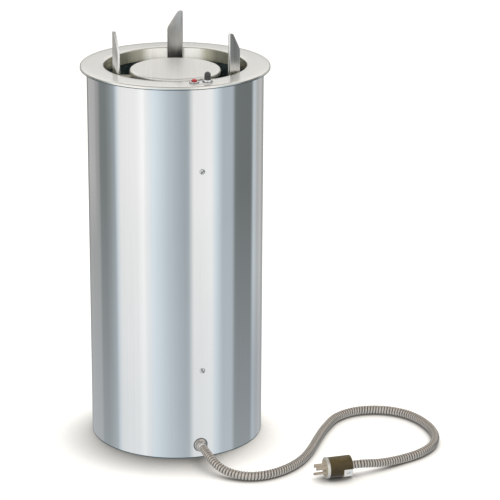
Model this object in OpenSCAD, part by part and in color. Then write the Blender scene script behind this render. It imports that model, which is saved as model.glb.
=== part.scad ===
// Drop-in heated plate dispenser: a tube that hangs by its flange in a counter cut-out.
// Plates stand on a sprung platform between three turning guides, over a heating element.
// Lengths are millimetres, +Z is up, the front faces -Y and the shell stands on z = 0.

/* [Shell] */
// Outside diameter of the drop-in shell
shell_d = 305; // [300:1:330]
// Sheet thickness of the shell
shell_wall = 1; // [0.8:0.1:1.4]
// Height from the floor to the flange's top face
unit_h = 672; // [650:1:720]
// Width of the welded lap at the back of the shell
seam_w = 14; // [8:1:20]
// Direction of the wiring channel and its screws, seen from above
wiring_angle = -73; // [-75:0.5:-71]
// Direction in which the conduit leaves the shell
gland_angle = -74.4; // [-76:0.2:-73]

/* [Flange] */
// How far the flange stands out past the shell
flange_overhang = 11.5; // [9:0.5:16]
// Sheet thickness of the flange
flange_t = 1.5; // [1.2:0.1:2]
// Height of the lip turned down at the flange's edge
flange_lip_h = 6; // [5:0.5:9]
// Width of the rim from the throat's edge to the outside of the shell
rim_w = 29.5; // [29:0.5:31]
// Depth of the collar turned down round the throat
collar_h = 22.5; // [18:0.5:26]

/* [Plate carrier] */
// Share of the throat that the plate platform fills
platform_share = 0.638; // [0.62:0.002:0.66]
// Depth of the platform's top below the flange's top face
platform_drop = 7.7; // [5:0.1:10]
// Sheet thickness of the platform
platform_t = 1.2; // [1:0.1:1.6]
// Height of the platform's rolled edge
platform_edge_h = 9; // [7:0.5:11]
// How far the platform travels down
carrier_travel = 400; // [360:1:410]
// Width of the lower arms that carry the springs
arm_w = 16; // [14:0.5:16]
// Width of the upper arms that keep the platform level
upper_arm_w = 28; // [24:1:30]
// Diameter of the upright posts
post_d = 8; // [7:0.5:9]
// Outside diameter of the lifting springs
spring_d = 15; // [12:0.5:16]

/* [Plate guides] */
// Width of a guide
guide_w = 27.5; // [26:0.5:28.5]
// Thickness of a guide
guide_t = 4.4; // [3.6:0.2:4.6]
// Height of a guide's tip above the flange
guide_rise = 68; // [55:1:75]
// Height of the slope at a guide's tip
guide_slope_h = 31; // [24:1:36]
// Width of the flat at a guide's tip
guide_flat_w = 8; // [6:0.5:10]
// Distance from the throat's edge in to the middle of a guide
guide_inset = 7.8; // [7.6:0.1:8.5]
// Turn of a guide away from square to the radius
guide_twist = 10; // [8:0.5:11]
// Diameter of the rods that the guides turn on
guide_rod_d = 8; // [7:0.5:8.5]

/* [Controls] */
// Direction of the middle of the control plate, seen from above
control_angle = -72.3; // [-74:0.1:-71]
// Distance between the lamp and the switch
control_pitch = 23.4; // [22:0.2:25]
// Length of the control plate
control_plate_l = 41; // [40:0.5:46]
// Width of the control plate
control_plate_w = 19; // [18:0.5:22]
// Diameter of the lamp's lens
lens_d = 10; // [8:0.5:11]
// Height of the lamp's lens
lens_h = 6; // [5:0.5:7]
// Diameter of the switch's rubber boot
boot_d = 11.2; // [10:0.2:11.6]
// Height of the boot above the flange
boot_h = 18; // [15:0.5:22]

/* [Heater] */
// Distance from the well's wall in to the middle of the heating element
heater_inset = 36.8; // [33:0.2:44]
// Diameter of the element's tube
heater_tube_d = 8; // [7:0.5:9]
// Height of the well's floor above the ground
well_floor_z = 30; // [28:0.5:34]

/* [Conduit and plug] */
// Outside diameter of the flexible conduit
conduit_d = 15; // [13:0.5:16]
// Diameter of the conduit's bore
conduit_bore_d = 11; // [9:0.5:11.5]
// Distance from one rib of the conduit to the next
rib_pitch = 5.4; // [5.4:0.1:8]
// Height of the conduit's exit
gland_z = 23.7; // [23:0.1:27]
// Diameter of the conduit's gland
gland_d = 23.6; // [21:0.2:24]
// Diameter of the plug
plug_d = 36.5; // [34:0.5:41]
// Length of the plug's body
plug_l = 41; // [36:0.5:48]
// Direction in which the plug's pins point, seen from above
plug_angle = 195; // [188:1:200]

/* [Hidden] */

// Fits shared by all pieces
cut = 1;
seat_gap = 0.2;
slide_gap = 0.3;
turn_gap = 0.05;
round_fn = 96;
small_fn = 48;

// Shell and flange
shell_r = shell_d / 2;
shell_ir = shell_r - shell_wall;
flange_r = shell_r + flange_overhang;
flange_z = unit_h - flange_t;
lip_bend_r = 3;
collar_bend_r = 2.5;
throat_r = shell_r - rim_w;
collar_or = throat_r + flange_t;
collar_z = unit_h - collar_h;
skirt_h = 14;
skirt_t = 1.2;

// Base pan
pan_clear = 5;
pan_t = 1.2;
pan_edge_h = 5;
pan_top = pan_clear + pan_t;
pan_vent_r = 6;
pan_vents = 8;

// Well liner
liner_t = 1;
liner_gap = 0.3;
liner_lap = 8;
liner_ir = collar_or + liner_gap;
liner_or = liner_ir + liner_t;
liner_top = collar_z + liner_lap;
pan_vent_circle_r = liner_ir / 2;
liner_window_w = 36;
liner_window_h = 18;
stay_h = 14;
stay_w = 22;
stay_t = 1.5;
stay_share = 0.4464;
stay_z = stay_share * unit_h;

// Well floor and heater
floor_t = 1.2;
floor_edge_h = 8;
floor_top = well_floor_z + floor_t;
heater_r = liner_ir - heater_inset;
heater_tube_r = heater_tube_d / 2;
heater_rise = 11;
heater_z = floor_top + heater_rise + heater_tube_r;
heater_gap_angle = 20;
heater_sleeve_t = 1.2;
heater_sleeve_r = heater_tube_r + heater_sleeve_t;
heater_pin_r = 2;
heater_pin_drop = 5;
clip_w = 9;
clip_l = 16;
clip_angles = [47, 107, 167];
guard_gap = 8;
guard_t = 1.2;
guard_inset = 20.8;
guard_r = liner_ir - guard_inset;
guard_z = heater_z + heater_tube_r + guard_gap;
guard_top = guard_z + guard_t;
guard_leg_d = 8;
guard_leg_inset = 18;
guard_leg_circle_r = heater_r - guard_leg_inset;
guard_hole_r = 4;
guard_hole_shares = [0.27, 0.44, 0.885];
guard_hole_circles = guard_hole_shares * guard_r;
guard_hole_counts = [6, 12, 24];
thermostat_d = 26;
thermostat_h = 10;
thermostat_inset = 38;
thermostat_circle_r = heater_r - thermostat_inset;
block_l = 42;
block_w = 18;
block_h = 13;
block_inset = 28.8;
block_circle_r = liner_ir - block_inset;

// Plate carrier
arm_angles = [60, 180, 300];
post_angles = [0, 120, 240];
spider_t = 3;
spider_clear = 7;
spider_hub_share = 0.84;
spider_low_z = guard_top + spider_clear;
spider_z = spider_low_z + carrier_travel;
spider_top = spider_z + spider_t;
platform_r = platform_share * throat_r;
spider_hub_r = spider_hub_share * platform_r;
platform_top = unit_h - platform_drop;
platform_under = platform_top - platform_t;
platform_bend_r = 3;
upper_arm_t = 2;
upper_arm_clear = 0.5;
upper_arm_edge_h = 8;
upper_arm_edge_t = 1.5;
upper_arm_top = min(platform_top - platform_edge_h, collar_z) - upper_arm_clear;
upper_arm_gap = 3;
upper_arm_end_r = liner_ir - upper_arm_gap;
post_share = 0.637;
post_circle_r = post_share * platform_r;
post_r = post_d / 2;
screw_r = 2.5;
screw_l = 14;
screw_head_r = 5;
screw_head_h = 3;
pad_l = 16;
pad_h = 7;
slot_gap = 2;
slot_w = arm_w + 2 * slot_gap;
shoe_in = 5;
shoe_out = 4;
shoe_up = 8;
shoe_down = 9;
shoe_flange_t = 2;
shoe_flange_w = 6;
stop_h = 8;
shoe_top = spider_top + shoe_up;
shoe_bottom = spider_z - shoe_down;
slot_top = shoe_top + stop_h;
stop_gap = 0.1;
slot_bottom = shoe_bottom - carrier_travel - stop_gap - stop_h;

// Lifting springs, in the space between the liner and the shell
annulus_mid_r = (liner_or + shell_ir) / 2;
arm_end_r = annulus_mid_r + arm_w / 2;
spring_wire = 1.6;
hanger_t = 2;
hanger_drop = 52;
hanger_edge_h = 12;
hanger_z = unit_h - hanger_drop;

// Plate guides: each turns on a rod at its tall edge
guide_angles = [90, 210, 330];
guide_over = 2.2;
guide_reach = guide_w - guide_over;
guide_circle_r = throat_r - guide_inset;
guide_cut_x = 8.6;
guide_rod_r = guide_rod_d / 2;
guide_tip_z = unit_h + guide_rise;
guide_gap_z = 2;
guide_z = guard_top + guide_gap_z;
washer_t = 1.2;
washer_r = 7;
bracket_t = 6;
bracket_r = 7;
bracket_drop = 5;
bracket_low_z = guide_z - washer_t - bracket_t;
bracket_top_z = collar_z - bracket_drop - bracket_t;
bracket_mid_z = (bracket_low_z + bracket_top_z) / 2;
knuckle_h = 40;
knuckle_r = 5.6;
knuckle_gap = 1;
guide_cut_z = bracket_top_z + bracket_t + knuckle_gap;
pad_tall = 20;
rest_pad_w = 9;
rest_pad_drop = 46;

// Wiring channel on the inside of the shell
channel_w = 22;
channel_depth = 13;
channel_t = 1;
channel_bottom = 46;
channel_top_drop = 38;
channel_seat_r = sqrt(pow(shell_ir, 2) - pow(channel_w / 2, 2)) - seat_gap / 2;
channel_screw_shares = [0.2411, 0.7753];
channel_screw_z = channel_screw_shares * unit_h;
channel_screw_r = 2.5;
channel_head_r = 4.9;
channel_head_h = 2.7;
channel_nut_r = 4.6;
channel_nut_t = 4;
channel_hole_r = 2.75;
wire_r = 1.6;
wire_pitch = 6;
wire_bend_r = 12;
wire_inset = 4;
wire_circle_r = channel_seat_r - channel_depth / 2 - wire_inset;
wire_low_z = 16;

// Controls on the flange
control_offset = 17.2;
control_circle_r = throat_r + control_offset;
control_plate_t = 1.2;
control_z = unit_h + control_plate_t;
lamp_bezel_r = 7.5;
lamp_bezel_h = 1.8;
lamp_neck_r = 4.5;
lamp_nut_r = 8;
lamp_nut_t = 3;
lamp_depth = 22;
lens_r = lens_d / 2;
switch_neck_r = 5.4;
switch_bore_r = 3.6;
switch_l = 26;
switch_w = 13;
switch_h = 24;
switch_hole_r = 5.5;
ring_nut_h = 4;
ring_nut_t = 2;
boot_r = boot_d / 2;
boot_swell = 0.35;
boot_ball_r = boot_r + boot_swell;
boot_pivot_rise = 3;
boot_foot = 1.5;
boot_top = unit_h + boot_h;
toggle_pivot_z = control_z + boot_pivot_rise;
ring_nut_bore_r = boot_ball_r + slide_gap;
lever_r = 2.2;
lever_cover = 5;
lever_top = boot_top - lever_cover;
lever_foot = 4;

// Gland, conduit and plug
conduit_r = conduit_d / 2;
bore_r = conduit_bore_d / 2;
gland_r = gland_d / 2;
gland_flange_t = 5;
gland_l = 14.5;
gland_neck_r = 9.4;
gland_hole_r = 9.6;
gland_barrel_r = 10.2;
gland_neck_end = 5.5;
locknut_r = 12.6;
locknut_t = 3.6;
gland_axis = [cos(gland_angle), sin(gland_angle), 0];
gland_seat_r = shell_r + seat_gap;
conduit_start = gland_axis * (gland_seat_r + gland_l) + [0, 0, gland_z];
plug_r = plug_d / 2;
plug_axis = [cos(plug_angle), sin(plug_angle), 0];
lead_foot = gland_axis * shell_r;
plug_reach_x = 212.4;
plug_reach_y = -92.2;
plug_face_t = 5;
plug_step = 0.4;
plug_chamfer = 1.5;
plug_body_r = plug_r - plug_step;
plug_rear_z = -plug_face_t - plug_l;
plug_grip_l = 15;
plug_front = lead_foot + [plug_reach_x, plug_reach_y, plug_r];
plug_rear = plug_front + plug_axis * plug_rear_z;
blade_l = 18;
blade_w = 6.4;
blade_t = 1.5;
blade_pitch = 12.7;
blade_up = 3;
blade_hole_r = 1.5;
blade_hole_inset = 4;
ground_r = 2.4;
ground_drop = 11.9;
ground_l = 21;
clamp_l = 16.5;
clamp_depth = 14.3;
clamp_half_w = 14.5;
clamp_screw_r = 1.9;
clamp_screw_l = 5;
clamp_screw_head_r = 3.4;
clamp_screw_x = clamp_depth / 2;
clamp_screw_z = plug_rear_z + clamp_l / 2;

// The conduit leaves the gland square, lies on the ground, and rises to end inside the plug.
// Its run is given from the foot of the shell under the gland.
run_in = 1.2 * conduit_d;
conduit_run = [
    [17.9, -55.2, 21], [28.6, -72.7, 16], [44.7, -86.9, 11], [65.6, -96.4, 8.5], [89.5, -98.8, 7.5],
    [114, -92.8, 7.5], [138.7, -77, 7.5], [160.9, -53.9, 7.5], [179.7, -23.9, 7.5], [195, 14, 7.5],
    [208.9, 59.2, 7.5], [225.9, 110.1, 7.5], [250.7, 159.5, 7.5], [290.4, 188.5, 7.5],
    [339, 191.4, 7.5], [379.7, 170.2, 7.5], [406.9, 130.1, 7.5], [419.5, 82.1, 7.5],
    [413.6, 35.3, 7.5], [388.6, -2.8, 7.5], [351.6, -30.6, 7.5], [313, -56.1, 11.5]
];
conduit_points = concat(
    [conduit_start, conduit_start + gland_axis * run_in],
    [for (p = conduit_run) lead_foot + p],
    [plug_rear - plug_axis * run_in, plug_rear + plug_axis * plug_grip_l]
);
route_steps = 10;
rib_sides = 8;
bore_every = 6;
rib_crest_r = conduit_r;
rib_depth = 0.9;
rib_valley_r = conduit_r - rib_depth;

// Points and directions along a smooth curve through the route's points
function blend(a, b, c, d, t) = 0.5 * (2 * b + (c - a) * t
    + (2 * a - 5 * b + 4 * c - d) * t * t
    + (3 * b - a - 3 * c + d) * t * t * t);
function route_line(p) = concat(
    [for (i = [0:len(p) - 2], k = [0:route_steps - 1])
        i == 0 || i == len(p) - 2
            ? p[i] + (p[i + 1] - p[i]) * k / route_steps
            : blend(p[i - 1], p[i], p[i + 1], p[i + 2], k / route_steps)],
    [p[len(p) - 1]]
);
function lengths(p) = [
    for (i = 0, s = 0; i < len(p); i = i + 1, s = s + (i < len(p) ? norm(p[i] - p[i - 1]) : 0)) s
];
route = route_line(conduit_points);
route_s = lengths(route);
route_l = route_s[len(route_s) - 1];
ribs = floor(route_l / rib_pitch);
rib_step = route_l / ribs;
table_x = [for (i = [0:len(route) - 1]) [route_s[i], route[i][0]]];
table_y = [for (i = [0:len(route) - 1]) [route_s[i], route[i][1]]];
table_z = [for (i = [0:len(route) - 1]) [route_s[i], route[i][2]]];
function place(s) = [lookup(s, table_x), lookup(s, table_y), lookup(s, table_z)];
function ahead(s) = let (v = place(min(route_l, s + rib_step)) - place(max(0, s - rib_step)))
    s <= run_in / 2 ? gland_axis : (s >= route_l - run_in / 2 ? plug_axis : v / norm(v));
function side(v) = cross(v, [0, 0, 1]) / norm(cross(v, [0, 0, 1]));
function ring(s, r) = let (c = place(s), v = ahead(s), a = side(v), b = cross(a, v))
    [for (k = [0:rib_sides - 1]) let (w = 360 * (k + 0.5) / rib_sides) c + r * (cos(w) * a + sin(w) * b)];

// The least distance between stretches of the conduit that are at least this far apart along it
apart = 6 * conduit_d;
least_gap = min([
    for (i = [0:4:len(route) - 1], j = [0:4:len(route) - 1])
        if (route_s[j] - route_s[i] > apart) norm(route[j] - route[i]) - conduit_d
]);
echo(conduit_length_mm = route_l, ribs = ribs, least_gap_mm = least_gap);

// Building blocks
module tube(outer, inner, z0, z1, fn = round_fn) {
    translate([0, 0, z0])
        difference() {
            cylinder(r = outer, h = z1 - z0, $fn = fn);
            translate([0, 0, -cut])
                cylinder(r = inner, h = z1 - z0 + 2 * cut, $fn = fn);
        }
}

module rod(r, z0, z1, fn = small_fn) {
    translate([0, 0, z0])
        cylinder(r = r, h = z1 - z0, $fn = fn);
}

module at_polar(angle, r, z = 0) {
    rotate([0, 0, angle])
        translate([r, 0, z])
            children();
}

// A block from radius r0 to r1, w wide, whose inner and outer ends follow the round walls
module round_block(r0, r1, w, z0, z1) {
    intersection() {
        tube(r1, r0, z0, z1);
        translate([0, -w / 2, z0])
            cube([r1 + cut, w, z1 - z0]);
    }
}

module box(l, w, z0, z1) {
    translate([-l / 2, -w / 2, z0])
        cube([l, w, z1 - z0]);
}

module bend(r, t, corner, quadrant) {
    translate(corner)
        intersection() {
            difference() {
                circle(r = r, $fn = small_fn);
                circle(r = r - t, $fn = small_fn);
            }
            rotate(90 * quadrant)
                square(r);
        }
}

module dome(r, h) {
    ball_r = (r * r + h * h) / (2 * h);
    intersection() {
        translate([0, 0, h - ball_r])
            sphere(r = ball_r, $fn = small_fn);
        cylinder(r = r + cut, h = h, $fn = small_fn);
    }
}

module hex(r, h) {
    cylinder(r = r, h = h, $fn = 6);
}

// Lays a piece that was drawn along +Z so that its foot is at a radius and it points outward
module outward(angle, r, z) {
    at_polar(angle, r, z)
        rotate([0, 90, 0])
            children();
}

module at_plug() {
    translate(plug_front)
        rotate([0, 0, plug_angle])
            rotate([0, 90, 0])
                children();
}

module at_control(offset) {
    at_polar(control_angle, control_circle_r)
        translate([0, offset, 0])
            children();
}

module slots(w, z0, z1, r0, r1) {
    for (a = arm_angles)
        rotate([0, 0, a])
            translate([r0, -w / 2, z0])
                cube([r1 - r0, w, z1 - z0]);
}

// Fixed casings
module outer_shell() {
    color("lightsteelblue")
        difference() {
            union() {
                tube(shell_r, shell_ir, 0, flange_z);
                rotate([0, 0, 90])
                    round_block(shell_ir - shell_wall, shell_ir, seam_w, pan_top + pan_edge_h,
                        flange_z - skirt_h - cut);
            }
            for (z = channel_screw_z)
                outward(wiring_angle, shell_ir - 2 * shell_wall, z)
                    rod(channel_hole_r, 0, 4 * shell_wall);
            outward(gland_angle, shell_ir - 2 * shell_wall, gland_z)
                rod(gland_hole_r, 0, 4 * shell_wall);
        }
}

module top_flange() {
    color("gainsboro")
        difference() {
            union() {
                rotate_extrude($fn = round_fn) {
                    translate([throat_r + collar_bend_r, flange_z])
                        square([flange_r - lip_bend_r - throat_r - collar_bend_r, flange_t]);
                    translate([flange_r - flange_t, unit_h - flange_lip_h])
                        square([flange_t, flange_lip_h - lip_bend_r]);
                    translate([throat_r, collar_z])
                        square([flange_t, collar_h - collar_bend_r]);
                    bend(lip_bend_r, flange_t, [flange_r - lip_bend_r, unit_h - lip_bend_r], 0);
                    bend(collar_bend_r, flange_t, [throat_r + collar_bend_r, unit_h - collar_bend_r], 1);
                }
                tube(shell_ir - seat_gap, shell_ir - seat_gap - skirt_t, flange_z - skirt_h,
                    flange_z + flange_t / 2);
            }
            at_control(-control_pitch / 2)
                rod(lamp_neck_r + turn_gap, flange_z - cut, unit_h + cut);
            at_control(control_pitch / 2)
                rod(switch_hole_r, flange_z - cut, unit_h + cut);
        }
}

module well_liner() {
    color("darkgray")
        difference() {
            tube(liner_or, liner_ir, pan_top, liner_top);
            slots(slot_w, slot_bottom, slot_top, liner_ir - cut, liner_or + cut);
            rotate([0, 0, wiring_angle])
                translate([liner_ir - liner_window_w, -liner_window_w / 2, pan_top - cut])
                    cube([2 * liner_window_w, liner_window_w, liner_window_h + cut]);
        }
}

module well_floor() {
    color("silver")
        difference() {
            union() {
                rod(liner_ir - seat_gap, well_floor_z, floor_top, round_fn);
                tube(liner_ir - seat_gap, liner_ir - seat_gap - floor_t, floor_top - floor_edge_h,
                    floor_top);
            }
            for (s = [-1, 1])
                at_polar(wiring_angle + s * heater_gap_angle / 2, heater_r)
                    rod(heater_sleeve_r + turn_gap, well_floor_z - cut, floor_top + cut);
        }
}

module base_pan() {
    color("silver")
        difference() {
            union() {
                rod(shell_ir - seat_gap, pan_clear, pan_top, round_fn);
                tube(shell_ir - seat_gap, shell_ir - seat_gap - pan_t, pan_clear,
                    pan_top + pan_edge_h - pan_t);
            }
            for (i = [0:pan_vents - 1])
                at_polar(i * 360 / pan_vents, pan_vent_circle_r)
                    rod(pan_vent_r, pan_clear - cut, pan_top + cut);
        }
}

module spring_hanger_ring() {
    color("silver")
        difference() {
            union() {
                tube(shell_ir - seat_gap, liner_or + seat_gap, hanger_z, hanger_z + hanger_t);
                tube(shell_ir - seat_gap, shell_ir - seat_gap - hanger_t, hanger_z,
                    hanger_z + hanger_edge_h);
            }
            rotate([0, 0, wiring_angle])
                translate([liner_ir, -channel_w / 2 - slide_gap, hanger_z - cut])
                    cube([shell_r, channel_w + 2 * slide_gap, hanger_edge_h + 2 * cut]);
            rotate([0, 0, 90])
                translate([shell_ir - shell_wall - seat_gap, -seam_w / 2 - seat_gap, hanger_z - cut])
                    cube([shell_r, seam_w + 2 * seat_gap, hanger_edge_h + 2 * cut]);
        }
}

module liner_stays() {
    color("silver")
        for (a = guide_angles)
            rotate([0, 0, a + (a == 90 ? seam_w : 0)])
                difference() {
                    round_block(liner_or + seat_gap, shell_ir - seat_gap, stay_w, stay_z, stay_z + stay_h);
                    translate([0, -stay_w / 2 - cut, stay_z + stay_t])
                        cube([shell_ir - seat_gap - stay_t, stay_w + 2 * cut, stay_h - 2 * stay_t]);
                }
}

// Heating
module heater_element() {
    color("dimgray") {
        rotate([0, 0, wiring_angle + heater_gap_angle / 2])
            translate([0, 0, heater_z])
                rotate_extrude(angle = 360 - heater_gap_angle, $fn = round_fn)
                    translate([heater_r, 0])
                        circle(r = heater_tube_r, $fn = small_fn);
        for (s = [-1, 1])
            at_polar(wiring_angle + s * heater_gap_angle / 2, heater_r) {
                rod(heater_sleeve_r, well_floor_z - heater_pin_drop, heater_z + heater_sleeve_r);
                rod(heater_pin_r, well_floor_z - 2 * heater_pin_drop, heater_z);
            }
    }
}

module heater_clips() {
    color("silver")
        difference() {
            for (a = clip_angles)
                rotate([0, 0, a + wiring_angle])
                    translate([heater_r, 0, 0])
                        box(clip_w + heater_tube_d, clip_l, floor_top, heater_z);
            translate([0, 0, heater_z])
                rotate_extrude($fn = round_fn)
                    translate([heater_r, 0])
                        circle(r = heater_tube_r + turn_gap, $fn = small_fn);
        }
}

module heater_guard() {
    color("gray")
        difference() {
            union() {
                rod(guard_r, guard_z, guard_top, round_fn);
                for (a = arm_angles)
                    at_polar(a, guard_leg_circle_r)
                        rod(guard_leg_d / 2, floor_top, guard_z + guard_t / 2);
            }
            for (c = [0:len(guard_hole_circles) - 1], i = [0:guard_hole_counts[c] - 1])
                at_polar((i + 0.5) * 360 / guard_hole_counts[c], guard_hole_circles[c])
                    rod(guard_hole_r, guard_z - cut, guard_top + cut);
        }
}

module limit_thermostat() {
    color("black")
        at_polar(wiring_angle, thermostat_circle_r) {
            rod(thermostat_d / 2, well_floor_z - thermostat_h, well_floor_z);
            box(thermostat_d + thermostat_h, thermostat_h, well_floor_z - pan_t, well_floor_z);
        }
}

module terminal_block() {
    color("ivory")
        at_polar(wiring_angle, block_circle_r)
            difference() {
                box(block_w, block_l, pan_top, pan_top + block_h);
                for (s = [-1, 0, 1])
                    translate([0, s * block_l / 3, 0])
                        rod(screw_r, pan_top + block_h / 2, pan_top + block_h + cut);
            }
}

// Wiring
module wiring_channel() {
    top = unit_h - channel_top_drop;
    color("silver")
        rotate([0, 0, wiring_angle])
            difference() {
                translate([channel_seat_r - channel_depth, -channel_w / 2, channel_bottom])
                    cube([channel_depth, channel_w, top - channel_bottom]);
                translate([channel_seat_r - channel_depth - cut, channel_t - channel_w / 2,
                    channel_bottom - cut])
                    cube([channel_depth - channel_t + cut, channel_w - 2 * channel_t,
                        top - channel_bottom + 2 * cut]);
                for (z = channel_screw_z)
                    translate([channel_seat_r - 2 * channel_t, 0, z])
                        rotate([0, 90, 0])
                            rod(channel_hole_r, 0, 3 * channel_t);
            }
}

module channel_screws() {
    color("gainsboro")
        for (z = channel_screw_z)
            outward(wiring_angle, 0, z) {
                rod(channel_screw_r, channel_seat_r - 2 * channel_t - channel_nut_t,
                    shell_r + channel_head_h / 2);
                translate([0, 0, shell_r + turn_gap])
                    dome(channel_head_r, channel_head_h);
            }
}

module channel_nuts() {
    color("silver")
        for (z = channel_screw_z)
            outward(wiring_angle, channel_seat_r - channel_t - channel_nut_t, z)
                difference() {
                    hex(channel_nut_r, channel_nut_t);
                    rod(channel_screw_r + turn_gap, -cut, channel_nut_t + cut);
                }
}

module wire_harness() {
    low = wire_low_z + wire_bend_r;
    color("firebrick")
        for (s = [-1, 1])
            rotate([0, 0, wiring_angle])
                translate([wire_circle_r, s * wire_pitch, 0]) {
                    rod(wire_r, low, flange_z - (s > 0 ? switch_h : lamp_depth), small_fn);
                    translate([-wire_bend_r, 0, low])
                        rotate([90, 0, 0])
                            rotate_extrude(angle = -90, $fn = small_fn)
                                translate([wire_bend_r, 0])
                                    circle(r = wire_r, $fn = small_fn);
                    translate([-wire_bend_r, 0, wire_low_z])
                        rotate([0, -90, 0])
                            rod(wire_r, 0, wire_circle_r - wire_bend_r - block_circle_r - block_w / 2);
                }
}

// Controls
module control_plate() {
    color("white")
        at_polar(control_angle, control_circle_r)
            difference() {
                union() {
                    box(control_plate_w, control_plate_l - control_plate_w, unit_h, control_z);
                    for (s = [-1, 1])
                        translate([0, s * (control_plate_l - control_plate_w) / 2, 0])
                            rod(control_plate_w / 2, unit_h, control_z);
                }
                translate([0, -control_pitch / 2, 0])
                    rod(lamp_neck_r + turn_gap, unit_h - cut, control_z + cut);
                translate([0, control_pitch / 2, 0])
                    rod(switch_hole_r, unit_h - cut, control_z + cut);
            }
}

module lamp_bezel() {
    color("silver")
        at_control(-control_pitch / 2)
            translate([0, 0, control_z])
                rotate_extrude($fn = small_fn)
                    polygon([
                        [lens_r + turn_gap, 0],
                        [lamp_bezel_r, 0],
                        [lamp_bezel_r, lamp_bezel_h / 2],
                        [(lens_r + lamp_bezel_r) / 2, lamp_bezel_h],
                        [lens_r + turn_gap, lamp_bezel_h]
                    ]);
}

module lamp_lens() {
    color("red")
        at_control(-control_pitch / 2) {
            rod(lens_r, control_z, control_z + lens_h - lens_r / 2);
            translate([0, 0, control_z + lens_h - lens_r / 2])
                dome(lens_r, lens_r / 2);
        }
}

module lamp_body() {
    color("black")
        at_control(-control_pitch / 2) {
            rod(lamp_neck_r, flange_z - lamp_depth, control_z);
            rod(lamp_nut_r, flange_z - lamp_nut_t, flange_z);
        }
}

module switch_body() {
    color("black")
        at_control(control_pitch / 2)
            difference() {
                union() {
                    box(switch_w, switch_l, flange_z - switch_h, flange_z);
                    rod(switch_neck_r, flange_z - cut, control_z);
                }
                rod(switch_bore_r, control_z - lever_foot - cut, control_z + cut);
            }
}

module switch_ring_nut() {
    color("silver")
        at_control(control_pitch / 2)
            tube(ring_nut_bore_r + ring_nut_t, ring_nut_bore_r, control_z, control_z + ring_nut_h);
}

module toggle_lever() {
    color("silver")
        at_control(control_pitch / 2)
            union() {
                rod(lever_r, toggle_pivot_z - lever_foot, lever_top);
                translate([0, 0, lever_top])
                    sphere(r = lever_r, $fn = small_fn);
            }
}

module toggle_boot() {
    color("dimgray")
        at_control(control_pitch / 2)
            difference() {
                union() {
                    translate([0, 0, toggle_pivot_z])
                        sphere(r = boot_ball_r, $fn = small_fn);
                    rod(boot_r, toggle_pivot_z, boot_top - boot_r);
                    translate([0, 0, boot_top - boot_r])
                        sphere(r = boot_r, $fn = small_fn);
                }
                rod(boot_ball_r + cut, toggle_pivot_z - 2 * boot_ball_r, toggle_pivot_z - boot_foot);
                rod(lever_r + turn_gap, toggle_pivot_z - boot_ball_r, lever_top);
                translate([0, 0, lever_top])
                    sphere(r = lever_r + turn_gap, $fn = small_fn);
            }
}

// Plate guides and the rods that they turn on. A guide's own +X runs from its free edge to its rod.
module at_guide(a) {
    rotate([0, 0, a])
        translate([guide_circle_r, 0, 0])
            rotate([0, 0, -90 - guide_twist])
                translate([guide_w / 2 - guide_over, 0, 0])
                    children();
}

module guide(a) {
    low = [guide_z, bracket_mid_z - knuckle_gap - knuckle_h, bracket_top_z - knuckle_gap - knuckle_h];
    color("silver")
        at_guide(a)
            difference() {
                union() {
                    rotate([90, 0, 0])
                        translate([0, 0, -guide_t / 2])
                            linear_extrude(guide_t)
                                polygon([
                                    [-guide_reach, guide_z],
                                    [-guide_cut_x, guide_z],
                                    [-guide_cut_x, guide_cut_z],
                                    [guide_over, guide_cut_z],
                                    [guide_over, guide_tip_z],
                                    [guide_over - guide_flat_w, guide_tip_z],
                                    [-guide_reach, guide_tip_z - guide_slope_h]
                                ]);
                    for (z = low) {
                        rod(knuckle_r, z, z + knuckle_h);
                        translate([-guide_cut_x - cut, -guide_t / 2, z])
                            cube([guide_cut_x + cut, guide_t, knuckle_h]);
                    }
                }
                rod(guide_rod_r + turn_gap, guide_z - cut, bracket_top_z + bracket_t);
            }
}

module rear_guide() {
    guide(guide_angles[0]);
}

module left_guide() {
    guide(guide_angles[1]);
}

module right_guide() {
    guide(guide_angles[2]);
}

module guide_rods() {
    color("gainsboro")
        for (a = guide_angles)
            at_guide(a)
                rod(guide_rod_r, floor_top, bracket_top_z + bracket_t);
}

// The direction of a guide's rod, and its radius, from the middle of the well
rod_in_x = guide_w / 2 - guide_over;
rod_radial = guide_circle_r - rod_in_x * sin(guide_twist);
rod_tangent = -rod_in_x * cos(guide_twist);
rod_turn = atan2(rod_tangent, rod_radial);
rod_circle_r = norm([rod_radial, rod_tangent]);

module guide_brackets() {
    color("silver")
        for (a = guide_angles, z = [bracket_low_z, bracket_mid_z, bracket_top_z])
            rotate([0, 0, a + rod_turn])
                difference() {
                    union() {
                        at_polar(0, rod_circle_r)
                            rod(bracket_r, z, z + bracket_t);
                        round_block(rod_circle_r, liner_ir - seat_gap, 2 * bracket_r, z, z + bracket_t);
                    }
                    at_polar(0, rod_circle_r)
                        rod(guide_rod_r + turn_gap, z - cut, z + bracket_t + cut);
                }
}

module friction_washers() {
    color("goldenrod")
        for (a = guide_angles)
            at_guide(a)
                tube(washer_r, guide_rod_r + turn_gap, guide_z - washer_t, guide_z, small_fn);
}

module guide_rest_pads() {
    top = collar_z - rest_pad_drop;
    color("dimgray")
        intersection() {
            for (a = guide_angles)
                at_guide(a)
                    translate([-guide_reach + guide_t / 2, guide_t / 2 + slide_gap, top - pad_tall])
                        cube([rest_pad_w, throat_r, pad_tall]);
            rod(liner_ir - seat_gap, top - pad_tall, top, round_fn);
        }
}

// Plate carrier
module platform() {
    color("gainsboro")
        rotate_extrude($fn = round_fn) {
            translate([0, platform_under])
                square([platform_r - platform_bend_r, platform_t]);
            translate([platform_r - platform_t, platform_top - platform_edge_h])
                square([platform_t, platform_edge_h - platform_bend_r]);
            bend(platform_bend_r, platform_t,
                [platform_r - platform_bend_r, platform_top - platform_bend_r], 0);
        }
}

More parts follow.
